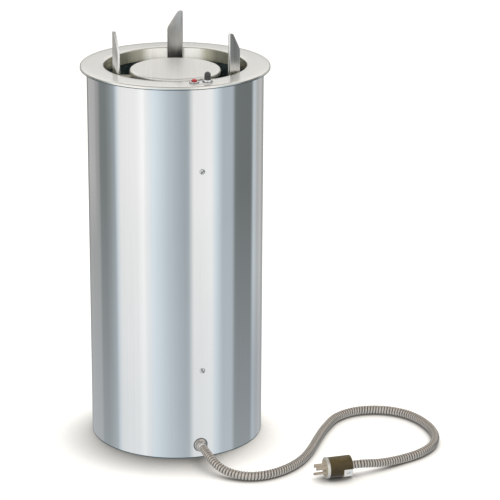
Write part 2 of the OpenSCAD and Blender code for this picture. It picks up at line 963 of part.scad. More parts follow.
module carrier_posts() {
    color("silver")
        for (a = post_angles)
            at_polar(a, post_circle_r)
                difference() {
                    rod(post_r, spider_top, platform_under);
                    rod(screw_r + turn_gap, spider_top - cut, spider_top + screw_l);
                }
}

module upper_spider() {
    low = upper_arm_top - upper_arm_t;
    edge_l = upper_arm_end_r - spider_hub_r - 2 * upper_arm_edge_t;
    color("silver")
        difference() {
            union() {
                rod(spider_hub_r, low, upper_arm_top, round_fn);
                for (a = arm_angles)
                    rotate([0, 0, a]) {
                        round_block(0, upper_arm_end_r, upper_arm_w, low, upper_arm_top);
                        for (s = [-1, 1])
                            translate([spider_hub_r, s * (upper_arm_w - upper_arm_edge_t) / 2, 0])
                                translate([0, -upper_arm_edge_t / 2, upper_arm_top - upper_arm_edge_h])
                                    cube([edge_l, upper_arm_edge_t, upper_arm_edge_h]);
                    }
            }
            for (a = post_angles)
                at_polar(a, post_circle_r)
                    rod(post_r + turn_gap, low - cut, upper_arm_top + cut);
        }
}

module spider_pads() {
    top = upper_arm_top - upper_arm_t;
    color("ivory")
        for (a = arm_angles)
            rotate([0, 0, a])
                round_block(liner_ir - slide_gap - pad_l, liner_ir - slide_gap,
                    upper_arm_w - 2 * upper_arm_edge_t - 2 * seat_gap, top - pad_h, top);
}

module lower_spider() {
    color("silver")
        difference() {
            union() {
                rod(spider_hub_r, spider_z, spider_top, round_fn);
                for (a = arm_angles)
                    rotate([0, 0, a])
                        translate([0, -arm_w / 2, spider_z])
                            cube([arm_end_r, arm_w, spider_t]);
            }
            for (a = post_angles)
                at_polar(a, post_circle_r)
                    rod(screw_r + turn_gap, spider_z - cut, spider_top + cut);
        }
}

module carrier_screws() {
    color("gray")
        for (a = post_angles)
            at_polar(a, post_circle_r) {
                rod(screw_r, spider_z - turn_gap, spider_top + screw_l - cut);
                translate([0, 0, spider_z])
                    mirror([0, 0, 1])
                        dome(screw_head_r, screw_head_h);
            }
}

module carrier_shoes() {
    w = slot_w - 2 * slide_gap;
    color("ivory")
        for (a = arm_angles)
            rotate([0, 0, a])
                difference() {
                    union() {
                        translate([liner_ir - shoe_in, -w / 2, shoe_bottom])
                            cube([shoe_in + liner_t + shoe_out, w, shoe_top - shoe_bottom]);
                        translate([liner_ir - shoe_in, -w / 2 - shoe_flange_w / 2, shoe_bottom])
                            cube([shoe_flange_t, w + shoe_flange_w, shoe_top - shoe_bottom]);
                    }
                    translate([liner_ir - shoe_in - cut, -arm_w / 2, spider_z])
                        cube([shoe_in + shoe_out + liner_t + 2 * cut, arm_w, spider_t]);
                }
}

module stops(z) {
    for (a = arm_angles)
        rotate([0, 0, a]) {
            translate([liner_ir - shoe_in, seat_gap - slot_w / 2, z])
                cube([shoe_in + liner_t + shoe_out, slot_w - 2 * seat_gap, stop_h]);
            translate([liner_or + seat_gap, -slot_w / 2 - shoe_flange_w / 2, z])
                cube([shoe_flange_t, slot_w + shoe_flange_w, stop_h]);
        }
}

module top_stops() {
    color("black")
        stops(shoe_top);
}

module lower_buffers() {
    color("black")
        stops(slot_bottom);
}

module lift_spring(a) {
    color("gray")
        at_polar(a, annulus_mid_r)
            tube(spring_d / 2, spring_d / 2 - spring_wire, spider_top, hanger_z, small_fn);
}

module lift_spring_1() {
    lift_spring(arm_angles[0]);
}

module lift_spring_2() {
    lift_spring(arm_angles[1]);
}

module lift_spring_3() {
    lift_spring(arm_angles[2]);
}

// Conduit and plug
module conduit_gland() {
    color("silver")
        outward(gland_angle, 0, gland_z)
            difference() {
                union() {
                    rod(gland_r, gland_seat_r, gland_seat_r + gland_flange_t, round_fn);
                    rod(gland_barrel_r, gland_seat_r, gland_seat_r + gland_l, round_fn);
                    rod(gland_neck_r, shell_ir - gland_neck_end, gland_seat_r + cut);
                }
                rod(bore_r, shell_ir - gland_neck_end - cut, gland_seat_r + gland_l + cut);
            }
}

module gland_locknut() {
    color("silver")
        outward(gland_angle, shell_ir - shell_wall - locknut_t, gland_z)
            difference() {
                hex(locknut_r, locknut_t);
                rod(gland_neck_r + turn_gap, -cut, locknut_t + cut);
            }
}

module power_conduit() {
    rings = [for (i = [0:2 * ribs]) ring(i * rib_step / 2, i % 2 == 1 ? rib_crest_r : rib_valley_r)];
    bores = [for (i = [0:2 * ribs])
        if (i % bore_every == 0 || i == 2 * ribs) ring(i * rib_step / 2, bore_r)];
    n = len(rings);
    m = len(bores);
    skin = [for (i = [0:n - 2], k = [0:rib_sides - 1]) let (a = i * rib_sides + k,
        b = i * rib_sides + (k + 1) % rib_sides, c = b + rib_sides, d = a + rib_sides)
        each [[a, b, c], [a, c, d]]];
    first = n * rib_sides;
    lining = [for (i = [0:m - 2], k = [0:rib_sides - 1]) let (a = first + i * rib_sides + k,
        b = first + i * rib_sides + (k + 1) % rib_sides, c = b + rib_sides, d = a + rib_sides)
        each [[a, c, b], [a, d, c]]];
    mouth = [for (k = [0:rib_sides - 1]) let (a = k, b = (k + 1) % rib_sides, c = first + b, d = first + a)
        each [[a, c, b], [a, d, c]]];
    last = (n - 1) * rib_sides;
    last_bore = first + (m - 1) * rib_sides;
    tail = [for (k = [0:rib_sides - 1]) let (a = last + k, b = last + (k + 1) % rib_sides,
        c = last_bore + (k + 1) % rib_sides, d = last_bore + k)
        each [[a, b, c], [a, c, d]]];
    color("darkgray")
        polyhedron(points = concat([for (r = rings) each r], [for (r = bores) each r]),
            faces = concat(skin, lining, mouth, tail));
}

module plug_body() {
    color("saddlebrown")
        at_plug()
            difference() {
                rotate_extrude($fn = round_fn)
                    polygon([
                        [0, plug_rear_z],
                        [plug_body_r - plug_chamfer, plug_rear_z],
                        [plug_body_r, plug_rear_z + plug_chamfer],
                        [plug_body_r, -plug_face_t],
                        [0, -plug_face_t]
                    ]);
                rod(conduit_r + turn_gap, plug_rear_z - cut, plug_rear_z + plug_grip_l + slide_gap);
                translate([0, -plug_r, plug_rear_z - cut])
                    cube([plug_r, plug_d, clamp_l + seat_gap + cut]);
            }
}

module plug_face() {
    color("ivory")
        at_plug()
            rod(plug_r, -plug_face_t, 0, round_fn);
}

module plug_blades() {
    color("gold")
        at_plug()
            for (s = [-1, 1])
                difference() {
                    translate([-blade_up - blade_w / 2, s * blade_pitch / 2 - blade_t / 2, 0])
                        cube([blade_w, blade_t, blade_l]);
                    translate([-blade_up, s * blade_pitch / 2 + blade_t, blade_l - blade_hole_inset])
                        rotate([90, 0, 0])
                            rod(blade_hole_r, 0, 2 * blade_t);
                }
}

module plug_ground_pin() {
    color("gold")
        at_plug()
            translate([ground_drop - blade_up, 0, 0]) {
                rod(ground_r, 0, ground_l - ground_r);
                translate([0, 0, ground_l - ground_r])
                    sphere(r = ground_r, $fn = small_fn);
            }
}

// The clamp fills the notch under the plug's rear and presses the conduit up into the body
module plug_clamp() {
    color("silver")
        at_plug()
            difference() {
                translate([seat_gap, -clamp_half_w, plug_rear_z])
                    cube([clamp_depth - seat_gap, 2 * clamp_half_w, clamp_l]);
                rod(conduit_r + turn_gap, plug_rear_z - cut, plug_rear_z + clamp_l + cut);
                at_clamp_screws()
                    rod(clamp_screw_r + turn_gap, -clamp_screw_l, cut);
            }
}

module at_clamp_screws() {
    for (s = [-1, 1])
        translate([clamp_screw_x, s * clamp_half_w, clamp_screw_z])
            rotate([-90 * s, 0, 0])
                children();
}

module plug_screws() {
    color("silver")
        at_plug()
            at_clamp_screws() {
                rod(clamp_screw_r, turn_gap - clamp_screw_l, clamp_screw_r / 2);
                translate([0, 0, turn_gap])
                    dome(clamp_screw_head_r, clamp_screw_r);
            }
}

outer_shell();
top_flange();
well_liner();
well_floor();
base_pan();
spring_hanger_ring();
liner_stays();
heater_element();
heater_clips();
heater_guard();
limit_thermostat();
terminal_block();
wiring_channel();
channel_screws();
channel_nuts();
wire_harness();
control_plate();
lamp_bezel();
lamp_lens();
lamp_body();
switch_body();
switch_ring_nut();
guide_rods();
guide_brackets();
guide_rest_pads();
friction_washers();
top_stops();
lower_buffers();
lift_spring_1();
lift_spring_2();
lift_spring_3();
conduit_gland();
gland_locknut();
power_conduit();
plug_body();
plug_face();
plug_blades();
plug_ground_pin();
plug_clamp();
plug_screws();
platform();
carrier_posts();
upper_spider();
spider_pads();
lower_spider();
carrier_shoes();
carrier_screws();
rear_guide();
left_guide();
right_guide();
toggle_lever();
toggle_boot();
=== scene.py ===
import math

import bmesh
import bpy
from mathutils import Matrix, Vector


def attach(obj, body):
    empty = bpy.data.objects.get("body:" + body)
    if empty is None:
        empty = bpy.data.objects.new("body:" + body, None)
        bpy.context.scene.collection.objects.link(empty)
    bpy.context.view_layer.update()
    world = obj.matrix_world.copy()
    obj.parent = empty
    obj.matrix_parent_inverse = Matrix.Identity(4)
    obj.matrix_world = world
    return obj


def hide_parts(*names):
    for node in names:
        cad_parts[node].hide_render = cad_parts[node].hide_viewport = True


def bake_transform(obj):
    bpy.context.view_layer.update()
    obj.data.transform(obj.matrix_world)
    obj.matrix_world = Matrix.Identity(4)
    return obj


bl_info = {
    "name": "Drop-in Heated Plate Dispenser",
    "version": (1, 0, 0),
    "blender": (4, 5, 0),
    "location": "View3D > Sidebar > Dispenser",
    "description": "Dresses the packed plate dispenser: sheet steel, guides, controls, conduit and heater",
    "category": "Object",
}

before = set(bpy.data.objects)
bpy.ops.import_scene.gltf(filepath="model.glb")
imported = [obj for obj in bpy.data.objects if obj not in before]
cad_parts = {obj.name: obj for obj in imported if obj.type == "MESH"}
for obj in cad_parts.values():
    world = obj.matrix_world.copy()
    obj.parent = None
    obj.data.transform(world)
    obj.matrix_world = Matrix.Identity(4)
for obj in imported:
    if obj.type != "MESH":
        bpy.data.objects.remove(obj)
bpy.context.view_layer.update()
CASING, CARRIER, TOGGLE = "casing", "carrier", "toggle"
GUIDE_BODIES = {
    "rear_guide": ("guide_rear", 90),
    "left_guide": ("guide_left", 210),
    "right_guide": ("guide_right", 330),
}

# Main sizes in metres, as the CAD source has them
SHELL_R, SHELL_IR, SHELL_TOP = 0.1525, 0.1515, 0.6705
RIM_TOP, RIM_R, RIM_LIP_Z, SHEET = 0.672, 0.164, 0.666, 0.0015
THROAT_R, COLLAR_Z = 0.123, 0.6495
SKIRT_R, SKIRT_IR, SKIRT_LOW, SKIRT_TOP = 0.1513, 0.1501, 0.6565, 0.6708
PLATFORM_R, PLATFORM_TOP, PLATFORM_LOW = 0.0785, 0.6643, 0.6553
ARM_ANGLES = (60, 180, 300)
CONTROL_ANGLE, CONTROL_R, CONTROL_PITCH = -72.3, 0.1402, 0.0234
CONTROL_HOLES = ((-CONTROL_PITCH / 2, 0.0047), (CONTROL_PITCH / 2, 0.0055))
CONTROL_END, CONTROL_END_R, CONTROL_T = 0.011, 0.0095, 0.0012
CONTROL_Z = RIM_TOP + CONTROL_T
WIRING_ANGLE, SCREW_HEIGHTS = -73, (0.162, 0.521)
GLAND_ANGLE, GLAND_Z, GLAND_SEAT, GLAND_L = -74.4, 0.0237, 0.1527, 0.0145
GUIDE_MIDDLE_R, GUIDE_TWIST, GUIDE_W, GUIDE_OVER, GUIDE_T = 0.1152, 10, 0.0275, 0.0022, 0.0044
GUIDE_FOOT, GUIDE_TIP, GUIDE_NOTCH, GUIDE_CUT = 0.0614, 0.740, 0.6455, -0.0086
KNUCKLE_R, KNUCKLE_IR, KNUCKLE_L, KNUCKLES = 0.0056, 0.00405, 0.04, (GUIDE_FOOT, 0.30535, 0.5975)
CONDUIT_R, CONDUIT_BORE_R, RIBS = 0.0075, 0.0055, 177
PLUG_ANGLE, PLUG_R, PLUG_L, PLUG_FACE_T = 195, 0.01825, 0.041, 0.005
PLUG_GRIP_L, CLAMP_L, CLAMP_DEPTH, CLAMP_HALF_W = 0.015, 0.0165, 0.0143, 0.0145
BLADE_AT, BLADE_T, BLADE_W, BLADE_L = 0.00635, 0.0015, 0.0064, 0.018
PIN_AT, PIN_R, PIN_L = 0.0089, 0.0024, 0.0186
SPRING_R, SPRING_CIRCLE_R, SPRING_LOW, SPRING_HIGH = 0.0075, 0.13865, 0.4694, 0.620

# Sizes that only this script has: the chamfer of the cut edges, and the studio that the steel mirrors
EDGE = 0.0003
PANELS_R, PANELS_LOW, PANELS_TOP = 2.2, -9, 3.2

# The conduit's route in millimetres from the foot of the shell under the gland, as in the CAD source
CONDUIT_RUN = (
    (17.9, -55.2, 21), (28.6, -72.7, 16), (44.7, -86.9, 11), (65.6, -96.4, 8.5), (89.5, -98.8, 7.5), (114, -92.8, 7.5),
    (138.7, -77, 7.5), (160.9, -53.9, 7.5), (179.7, -23.9, 7.5), (195, 14, 7.5), (208.9, 59.2, 7.5),
    (225.9, 110.1, 7.5), (250.7, 159.5, 7.5), (290.4, 188.5, 7.5), (339, 191.4, 7.5), (379.7, 170.2, 7.5),
    (406.9, 130.1, 7.5), (419.5, 82.1, 7.5), (413.6, 35.3, 7.5), (388.6, -2.8, 7.5), (351.6, -30.6, 7.5),
    (313, -56.1, 11.5),
)
PLUG_REACH = (212.4, -92.2)


# ---- Places ----

def heading(degrees):
    return Vector((math.cos(math.radians(degrees)), math.sin(math.radians(degrees)), 0))


def turned(degrees, axis="Z"):
    return Matrix.Rotation(math.radians(degrees), 4, axis)


def moved(x, y, z):
    return Matrix.Translation((x, y, z))


def at_polar(degrees, radius, height=0.0):
    return turned(degrees) @ moved(radius, 0, height)


def outward(degrees, radius, height):
    """Lays a shape drawn along +Z so that it points out of the shell."""
    return at_polar(degrees, radius, height) @ turned(90, "Y")


def at_control(offset, height=0.0):
    return at_polar(CONTROL_ANGLE, CONTROL_R) @ moved(0, offset, height)


def at_guide(degrees):
    return at_polar(degrees, GUIDE_MIDDLE_R) @ turned(-90 - GUIDE_TWIST) @ moved(GUIDE_W / 2 - GUIDE_OVER, 0, 0)


LEAD_FOOT = heading(GLAND_ANGLE) * SHELL_R
PLUG_AXIS = heading(PLUG_ANGLE)
PLUG_FRONT = LEAD_FOOT + Vector((PLUG_REACH[0] / 1000, PLUG_REACH[1] / 1000, PLUG_R))
PLUG_REAR = PLUG_FRONT - PLUG_AXIS * (PLUG_L + PLUG_FACE_T)
AT_PLUG = Matrix.Translation(PLUG_FRONT) @ turned(PLUG_ANGLE) @ turned(90, "Y")


def conduit_route():
    """Points of the conduit's centreline: straight out of the gland, along the run, straight into the plug."""
    steps = 10
    start = heading(GLAND_ANGLE) * (GLAND_SEAT + GLAND_L) + Vector((0, 0, GLAND_Z))
    run_in = 2.4 * CONDUIT_R
    knots = [start, start + heading(GLAND_ANGLE) * run_in]
    knots += [LEAD_FOOT + Vector(p) / 1000 for p in CONDUIT_RUN]
    knots += [PLUG_REAR - PLUG_AXIS * run_in, PLUG_REAR + PLUG_AXIS * PLUG_GRIP_L]
    points, last = [], len(knots) - 2
    for i in range(last + 1):
        b, c = knots[i], knots[i + 1]
        for k in range(steps):
            t = k / steps
            if i in (0, last):
                points.append(b.lerp(c, t))
            else:
                a, d = knots[i - 1], knots[i + 2]
                points.append(0.5 * (2 * b + (c - a) * t + (2 * a - 5 * b + 4 * c - d) * t * t
                                     + (3 * b - a - 3 * c + d) * t * t * t))
    return points + [knots[-1]]


def route_length(points):
    return sum((b - a).length for a, b in zip(points, points[1:]))


# ---- Shapes ----

def mm(*points):
    """Points of an outline that are given in millimetres."""
    return [(x / 1000, y / 1000) for x, y in points]


def arc(centre, radius, start, end, steps=8):
    """Points of an arc, as (radius, height) pairs of an outline that is spun."""
    turns = [math.radians(start + (end - start) * i / steps) for i in range(steps + 1)]
    return [(centre[0] + radius * math.cos(a), centre[1] + radius * math.sin(a)) for a in turns]


def lathe(outline, steps=96, closed=False, place=None, turn=360):
    """Spins an outline of (radius, height) points round Z, and closes the cut faces of a part turn."""
    bm = bmesh.new()
    verts = [bm.verts.new((r, 0, z)) for r, z in outline]
    edges = [bm.edges.new(pair) for pair in zip(verts, verts[1:])]
    if closed:
        edges.append(bm.edges.new((verts[-1], verts[0])))
    bmesh.ops.spin(bm, geom=verts + edges, cent=(0, 0, 0), axis=(0, 0, 1), angle=math.radians(turn), steps=steps,
                   use_merge=turn == 360)
    bmesh.ops.remove_doubles(bm, verts=bm.verts, dist=1e-7)
    bmesh.ops.dissolve_degenerate(bm, edges=bm.edges, dist=1e-8)
    if turn < 360:
        bmesh.ops.holes_fill(bm, edges=open_edges(bm), sides=0)
    bmesh.ops.recalc_face_normals(bm, faces=bm.faces)
    return put(bm, place)


def put(bm, place):
    if place is not None:
        bmesh.ops.transform(bm, matrix=place, verts=bm.verts)
    return bm


def only(geom, kind):
    """The vertices, edges or faces of what an operator returned: kind is BMVert, BMEdge or BMFace."""
    return [g for g in geom if isinstance(g, getattr(bmesh.types, kind))]


def open_edges(bm, near=None, reach=0.0):
    """The edges with one face, or those of them that begin near a point."""
    return [e for e in bm.edges if e.is_boundary and (near is None or (e.verts[0].co - near).length < reach)]


def rod(radius, low, high, place):
    return lathe([(0, low), (radius - EDGE, low), (radius, low + EDGE), (radius, high - EDGE), (radius - EDGE, high),
                  (0, high)], 32, place=place)


def ring(outer, inner, low, high, chamfer=0.0002, steps=64, place=None):
    c = min(chamfer, (outer - inner) / 3, (high - low) / 3)
    return lathe([(inner + c, low), (outer - c, low), (outer, low + c), (outer, high - c), (outer - c, high),
                  (inner + c, high), (inner, high - c), (inner, low + c)], steps, closed=True, place=place)


def block(low, high, round_off=0.0003, segments=2, place=None):
    """A box between two corners, with rounded edges."""
    bm = bmesh.new()
    bmesh.ops.create_cube(bm, size=1)
    low, high = Vector(low), Vector(high)
    bmesh.ops.scale(bm, vec=high - low, verts=bm.verts)
    bmesh.ops.translate(bm, vec=(low + high) / 2, verts=bm.verts)
    bmesh.ops.bevel(bm, geom=bm.edges[:], offset=round_off, segments=segments, profile=0.5, affect="EDGES",
                    material=-1, clamp_overlap=True)
    return put(bm, place)


def slab(outline, thickness, corner_r=(), round_off=0.0003, segments=2, place=None):
    """A flat piece from an outline in XY, with rounded corners where corner_r gives them, extruded along Z."""
    bm = bmesh.new()
    verts = [bm.verts.new((x, y, 0)) for x, y in outline]
    bm.faces.new(verts)
    for vert, radius in zip(verts, corner_r):
        if radius:
            bmesh.ops.bevel(bm, geom=[vert], offset=radius, segments=6, profile=0.5, affect="VERTICES", material=-1)
    face = max(bm.faces, key=lambda f: f.calc_area())
    raised = bmesh.ops.extrude_face_region(bm, geom=[face])["geom"]
    bmesh.ops.translate(bm, vec=(0, 0, thickness), verts=only(raised, "BMVert"))
    bmesh.ops.recalc_face_normals(bm, faces=bm.faces)
    rim = [e for e in bm.edges if abs(e.verts[0].co.z - e.verts[1].co.z) < 1e-9]
    bmesh.ops.bevel(bm, geom=rim, offset=round_off, segments=segments, profile=0.5, affect="EDGES", material=-1)
    return put(bm, place)


def together(*parts):
    """Several shapes as one piece. A part may be (shape, number of its material)."""
    whole = bmesh.new()
    for part in parts:
        bm, number = part if isinstance(part, tuple) else (part, None)
        for face in bm.faces if number is not None else ():
            face.material_index = number
        mesh = bpy.data.meshes.new("part")
        bm.to_mesh(mesh)
        bm.free()
        whole.from_mesh(mesh)
        bpy.data.meshes.remove(mesh)
    return whole


def slotted(bm, width, floor, number=0):
    """Sinks a straight screwdriver slot into a head that looks along +Z. Its floor gets the numbered material."""
    for side in (-1, 1):
        bmesh.ops.bisect_plane(bm, geom=bm.verts[:] + bm.edges[:] + bm.faces[:], plane_co=(0, side * width / 2, 0),
                               plane_no=(0, 1, 0), dist=1e-7)
    strip = [f for f in bm.faces if abs(f.calc_center_median().y) < width / 2 and f.calc_center_median().z > floor]
    sunk = bmesh.ops.extrude_face_region(bm, geom=strip)["geom"]
    for vert in only(sunk, "BMVert"):
        vert.co.z = floor
    for face in only(sunk, "BMFace"):
        face.material_index = number
    bmesh.ops.delete(bm, geom=[f for f in strip if f.is_valid], context="FACES")
    return bm


def pierce(bm, middle, radius, low):
    """Cuts a round hole straight down through the flat sheet above a height, and walls it."""
    def above(reach):
        centres = ((f, f.calc_center_median()) for f in bm.faces)
        return [(f, c - middle) for f, c in centres if c.z > low and (c - middle).xy.length < reach]

    sides, near = 16, 0.02
    ways = [heading(360 * i / sides) for i in range(sides)]
    for way in ways:
        sheet = dict.fromkeys(g for f, _ in above(near) for g in (f, *f.edges, *f.verts))
        bmesh.ops.bisect_plane(bm, geom=list(sheet), plane_co=middle + way * radius, plane_no=way, dist=1e-7)
    cut = [f for f, c in above(radius) if all(c.dot(way) < radius for way in ways)]
    bmesh.ops.delete(bm, geom=cut, context="FACES")
    bmesh.ops.bridge_loops(bm, edges=open_edges(bm))


def sweep(points, radii, sides, lean, mark):
    """A tube that is extruded ring by ring along a route, with a radius for each point. The rings lean forwards.
    mark names an attribute that keeps how far each ring stands up, from 0 to 1."""
    bm = bmesh.new()
    layer = bm.verts.layers.float.new(mark)
    low, high = min(radii), max(radii)
    verts = bmesh.ops.create_circle(bm, cap_ends=False, radius=1, segments=sides)["verts"]
    circle = [v.co.copy() for v in verts]
    edges = bm.edges[:]
    for i, point in enumerate(points):
        ahead = (points[min(i + 1, len(points) - 1)] - points[max(i - 1, 0)]).normalized()
        across = ahead.cross(Vector((0, 0, 1))).normalized()
        rise = across.cross(ahead)
        if i:
            grown = bmesh.ops.extrude_edge_only(bm, edges=edges)["geom"]
            fresh = set(only(grown, "BMVert"))
            edges = [e for e in only(grown, "BMEdge") if fresh.issuperset(e.verts)]
            number = {v: before[e.other_vert(v)] for v in fresh for e in v.link_edges if e.other_vert(v) in before}
            verts = sorted(number, key=number.get)
        before = {v: k for k, v in enumerate(verts)}
        for vert, at in zip(verts, circle):
            vert.co = point + (across * at.x + rise * at.y) * radii[i] + ahead * (lean * at.y)
            vert[layer] = (radii[i] - low) / (high - low)
    bmesh.ops.recalc_face_normals(bm, faces=bm.faces)
    return bm


def piece(name, bm, body, finishes, nodes=(), smooth=35, mirrored=True):
    """Makes the finished object of a shape, at the origin, and lets it ride on its body. The shape's material
    numbers choose from the finishes. Other pieces don't mirror one that is made with mirrored=False."""
    mesh = bpy.data.meshes.new(name)
    bm.to_mesh(mesh)
    bm.free()
    for material in finishes:
        mesh.materials.append(finish(material) if isinstance(material, str) else material)
    mesh.shade_smooth()
    mesh.set_sharp_from_angle(angle=math.radians(smooth))
    obj = bpy.data.objects.new(name, mesh)
    bpy.context.scene.collection.objects.link(obj)
    obj.visible_glossy = mirrored
    if body:
        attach(obj, body)
    if nodes:
        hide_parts(*nodes)
    return obj


def dress(node, material):
    """Gives a CAD node its finish. Its loose triangles are welded for shading by modifiers alone."""
    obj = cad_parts[node]
    obj.data.materials.clear()
    obj.data.materials.append(material)
    weld = obj.modifiers.new("Weld", "WELD")
    weld.merge_threshold = 1e-6
    obj.data.polygons.foreach_set("use_smooth", [True] * len(obj.data.polygons))
    split = obj.modifiers.new("Sharp edges", "EDGE_SPLIT")
    split.split_angle = math.radians(32)


# ---- Finishes ----

class Tree:
    """A node tree. What goes into a node is a value or another node's output, and None leaves an input as it is."""

    def __init__(self, owner):
        owner.use_nodes = True
        self.nodes, self.links = owner.node_tree.nodes, owner.node_tree.links

    def node(self, kind, output, inputs, **settings):
        node = self.nodes.new("ShaderNode" + kind)
        for key, value in settings.items():
            setattr(node, key, value)
        for key, value in inputs.items():
            self.fill(node.inputs[key], value)
        return node.outputs[output]

    def fill(self, socket, value):
        if isinstance(value, bpy.types.NodeSocket):
            self.links.new(value, socket)
        elif value is not None:
            socket.default_value = (*value, 1) if socket.type == "RGBA" else value

    def seen_direct(self):
        """1 for rays from the camera and for mirrored and refracted ones, else 0."""
        rays = [self.node("LightPath", "Is %s Ray" % kind, {}) for kind in ("Camera", "Glossy", "Transmission")]
        direct = self.node("Math", 0, {0: rays[0], 1: rays[1]}, operation="MAXIMUM")
        return self.node("Math", 0, {0: direct, 1: rays[2]}, operation="MAXIMUM")


class Finish(Tree):
    """One node material, with the texture nodes that the finishes share."""

    def __init__(self, name, **sockets):
        self.material = bpy.data.materials.new(name)
        super().__init__(self.material)
        self.set(**sockets)

    def set(self, **sockets):
        for key, value in sockets.items():
            self.fill(self.nodes["Principled BSDF"].inputs[key.replace("_", " ")], value)
        return self.material

    def place(self, scale=1, rotation=(0, 0, 0)):
        """Object coordinates, scaled by one number or by one for each axis, and turned by degrees."""
        return self.node("Mapping", "Vector", {
            "Vector": self.node("TexCoord", "Object", {}),
            "Scale": (scale,) * 3 if isinstance(scale, (int, float)) else scale,
            "Rotation": [math.radians(a) for a in rotation],
        })

    def around(self, stops):
        """A colour for each angle round the middle axis, in degrees from the front towards the right."""
        turn = self.node("TexGradient", "Fac", {"Vector": self.place(rotation=(0, 0, 90))}, gradient_type="RADIAL")
        return self.ramp(turn, [(0.5 + degrees / 360, colour) for degrees, colour in stops])

    def noise(self, scale, detail, roughness=0.55, distortion=0.0, rotation=(0, 0, 0)):
        return self.node("TexNoise", "Fac", {"Vector": self.place(scale, rotation), "Scale": 1, "Detail": detail,
                                             "Roughness": roughness, "Distortion": distortion})

    def ramp(self, fac, stops):
        colour = self.node("ValToRGB", "Color", {"Fac": fac})
        elements = colour.node.color_ramp.elements
        for i, (at, value) in enumerate(stops):
            stop = elements[i] if i < 2 else elements.new(at)
            stop.position, stop.color = at, (*value, 1)
        return colour

    def spread(self, value, low, high, start=0.3, end=0.7):
        return self.node("MapRange", "Result", {"Value": value, "From Min": start, "From Max": end, "To Min": low,
                                                "To Max": high})

    def blend(self, first, second, factor, mode="MIX"):
        """Mixes colours, which are sockets 6 and 7 of the node."""
        return self.node("Mix", 2, {0: factor, 6: first, 7: second}, data_type="RGBA", blend_type=mode)

    def mean(self, first, second, factor):
        """Mixes numbers, which are sockets 2 and 3 of the node."""
        return self.node("Mix", 0, {0: factor, 2: first, 3: second}, data_type="FLOAT")

    def bump(self, height, strength, distance, below=None):
        return self.node("Bump", "Normal", {"Height": height, "Strength": strength, "Distance": distance,
                                            "Normal": below})


def shade(colour, factor):
    return tuple(min(1.0, c * factor) for c in colour)


def brushed(name, colour, roughness, grain=(3, 3, 900), contrast=0.05, relief=0.12, rise=0.0, reflection_and_shade_round=()):
    """Ground sheet or bar: fine streaks along the grain, cloudy patches from handling and a few scratches.
    rise tips the mirrored light upwards, as the flare of a spun wall does. The last argument gives painted reflection
    and painted shade, a colour for each angle all round."""
    f = Finish(name, Metallic=1.0)
    streaks = f.noise(grain, 5.0, 0.62)
    patches = f.noise((9, 9, 5), 3.0, 0.5, 0.4)
    scratches = f.noise([g * 2.7 for g in grain], 2.0, 0.5, rotation=(4, 3, 0))
    tone = f.ramp(streaks, [(0.25, shade(colour, 1 - contrast)), (0.75, shade(colour, 1 + contrast))])
    tone = f.blend(tone, shade(colour, 0.9), f.spread(patches, 0.0, 0.35, 0.45, 0.8))
    # Painted reflection and painted shade: a brightness for each angle round the axis, multiplied into the tone.
    if reflection_and_shade_round:
        tone = f.blend(tone, f.around(reflection_and_shade_round), 1.0, "MULTIPLY")
    rough = f.mean(f.spread(streaks, roughness * 0.82, roughness * 1.2),
                   f.spread(patches, roughness * 0.9, roughness * 1.25), 0.4)
    normal = f.bump(scratches, relief * 0.5, 0.00008, f.bump(streaks, relief, 0.00012))
    if rise:
        tipped = f.node("VectorMath", 0, {0: normal, 1: (0, 0, rise)}, operation="ADD")
        normal = f.node("VectorMath", 0, {0: tipped}, operation="NORMALIZE")
    return f.set(Base_Color=tone, Roughness=rough, Normal=normal)


def spun_wall(name):
    """The collar: brushed, with its tone round the axis painted: a pale painted reflection at the back, and olive at
    the sides with painted shade in darker steps.
    """
    dull, bright = (0.40, 0.39, 0.31), (0.97, 0.96, 0.90)
    # Painted light by angle from the front: pale painted reflection at the back, olive with darker steps of painted
    # shade at the sides.
    reflection_and_shade_round = [(-180, bright), (-159, bright), (-151, shade(dull, 1.1)), (-135, shade(dull, 0.85)), (-90, dull),
            (90, dull), (117, shade(dull, 0.55)), (130, shade(dull, 0.75)), (144, shade(dull, 0.5)),
            (154, shade(dull, 1.2)), (160, bright), (180, bright)]
    return brushed(name, (1, 1, 1), 0.24, (260, 260, 5), 0.06, 0.06, 0.23, reflection_and_shade_round)


def plated(name, colour, roughness=0.12):
    """Bright plating with faint pitting and finger marks."""
    f = Finish(name, Metallic=1.0)
    marks = f.noise(70, 4.0, 0.6)
    pits = f.noise(900, 2.0, 0.5)
    tone = f.ramp(marks, [(0.3, shade(colour, 0.88)), (0.7, colour)])
    return f.set(Base_Color=tone, Roughness=f.spread(marks, roughness * 0.7, roughness * 1.7),
                 Normal=f.bump(pits, 0.08, 0.00005))


def zinc_coated(name, colour):
    """Zinc-coated sheet with its spangle and dull streaks."""
    f = Finish(name, Metallic=0.9)
    cells = f.node("TexVoronoi", "Color", {"Vector": f.place(95), "Scale": 1})
    spangle = f.node("RGBToBW", "Val", {"Color": cells})
    dull = f.noise((18, 18, 6), 4.0, 0.6)
    tone = f.ramp(spangle, [(0.2, shade(colour, 0.78)), (0.8, shade(colour, 1.15))])
    tone = f.blend(tone, shade(colour, 0.7), f.spread(dull, 0.0, 0.6, 0.45, 0.75))
    rough = f.mean(f.spread(spangle, 0.32, 0.55, 0.1, 0.9), f.spread(dull, 0.35, 0.6), 0.5)
    return f.set(Base_Color=tone, Roughness=rough, Normal=f.bump(dull, 0.15, 0.0003))


def heat_darkened(name, colour, tint):
    """Steel that heat has dulled, brown where it ran hottest."""
    f = Finish(name, Metallic=0.85)
    bloom = f.noise(28, 4.0, 0.6, 0.5)
    scale = f.noise(600, 3.0, 0.6)
    tone = f.ramp(bloom, [(0.3, colour), (0.55, tint), (0.75, shade(colour, 1.3))])
    return f.set(Base_Color=tone, Roughness=f.spread(scale, 0.42, 0.68), Normal=f.bump(scale, 0.3, 0.0001))


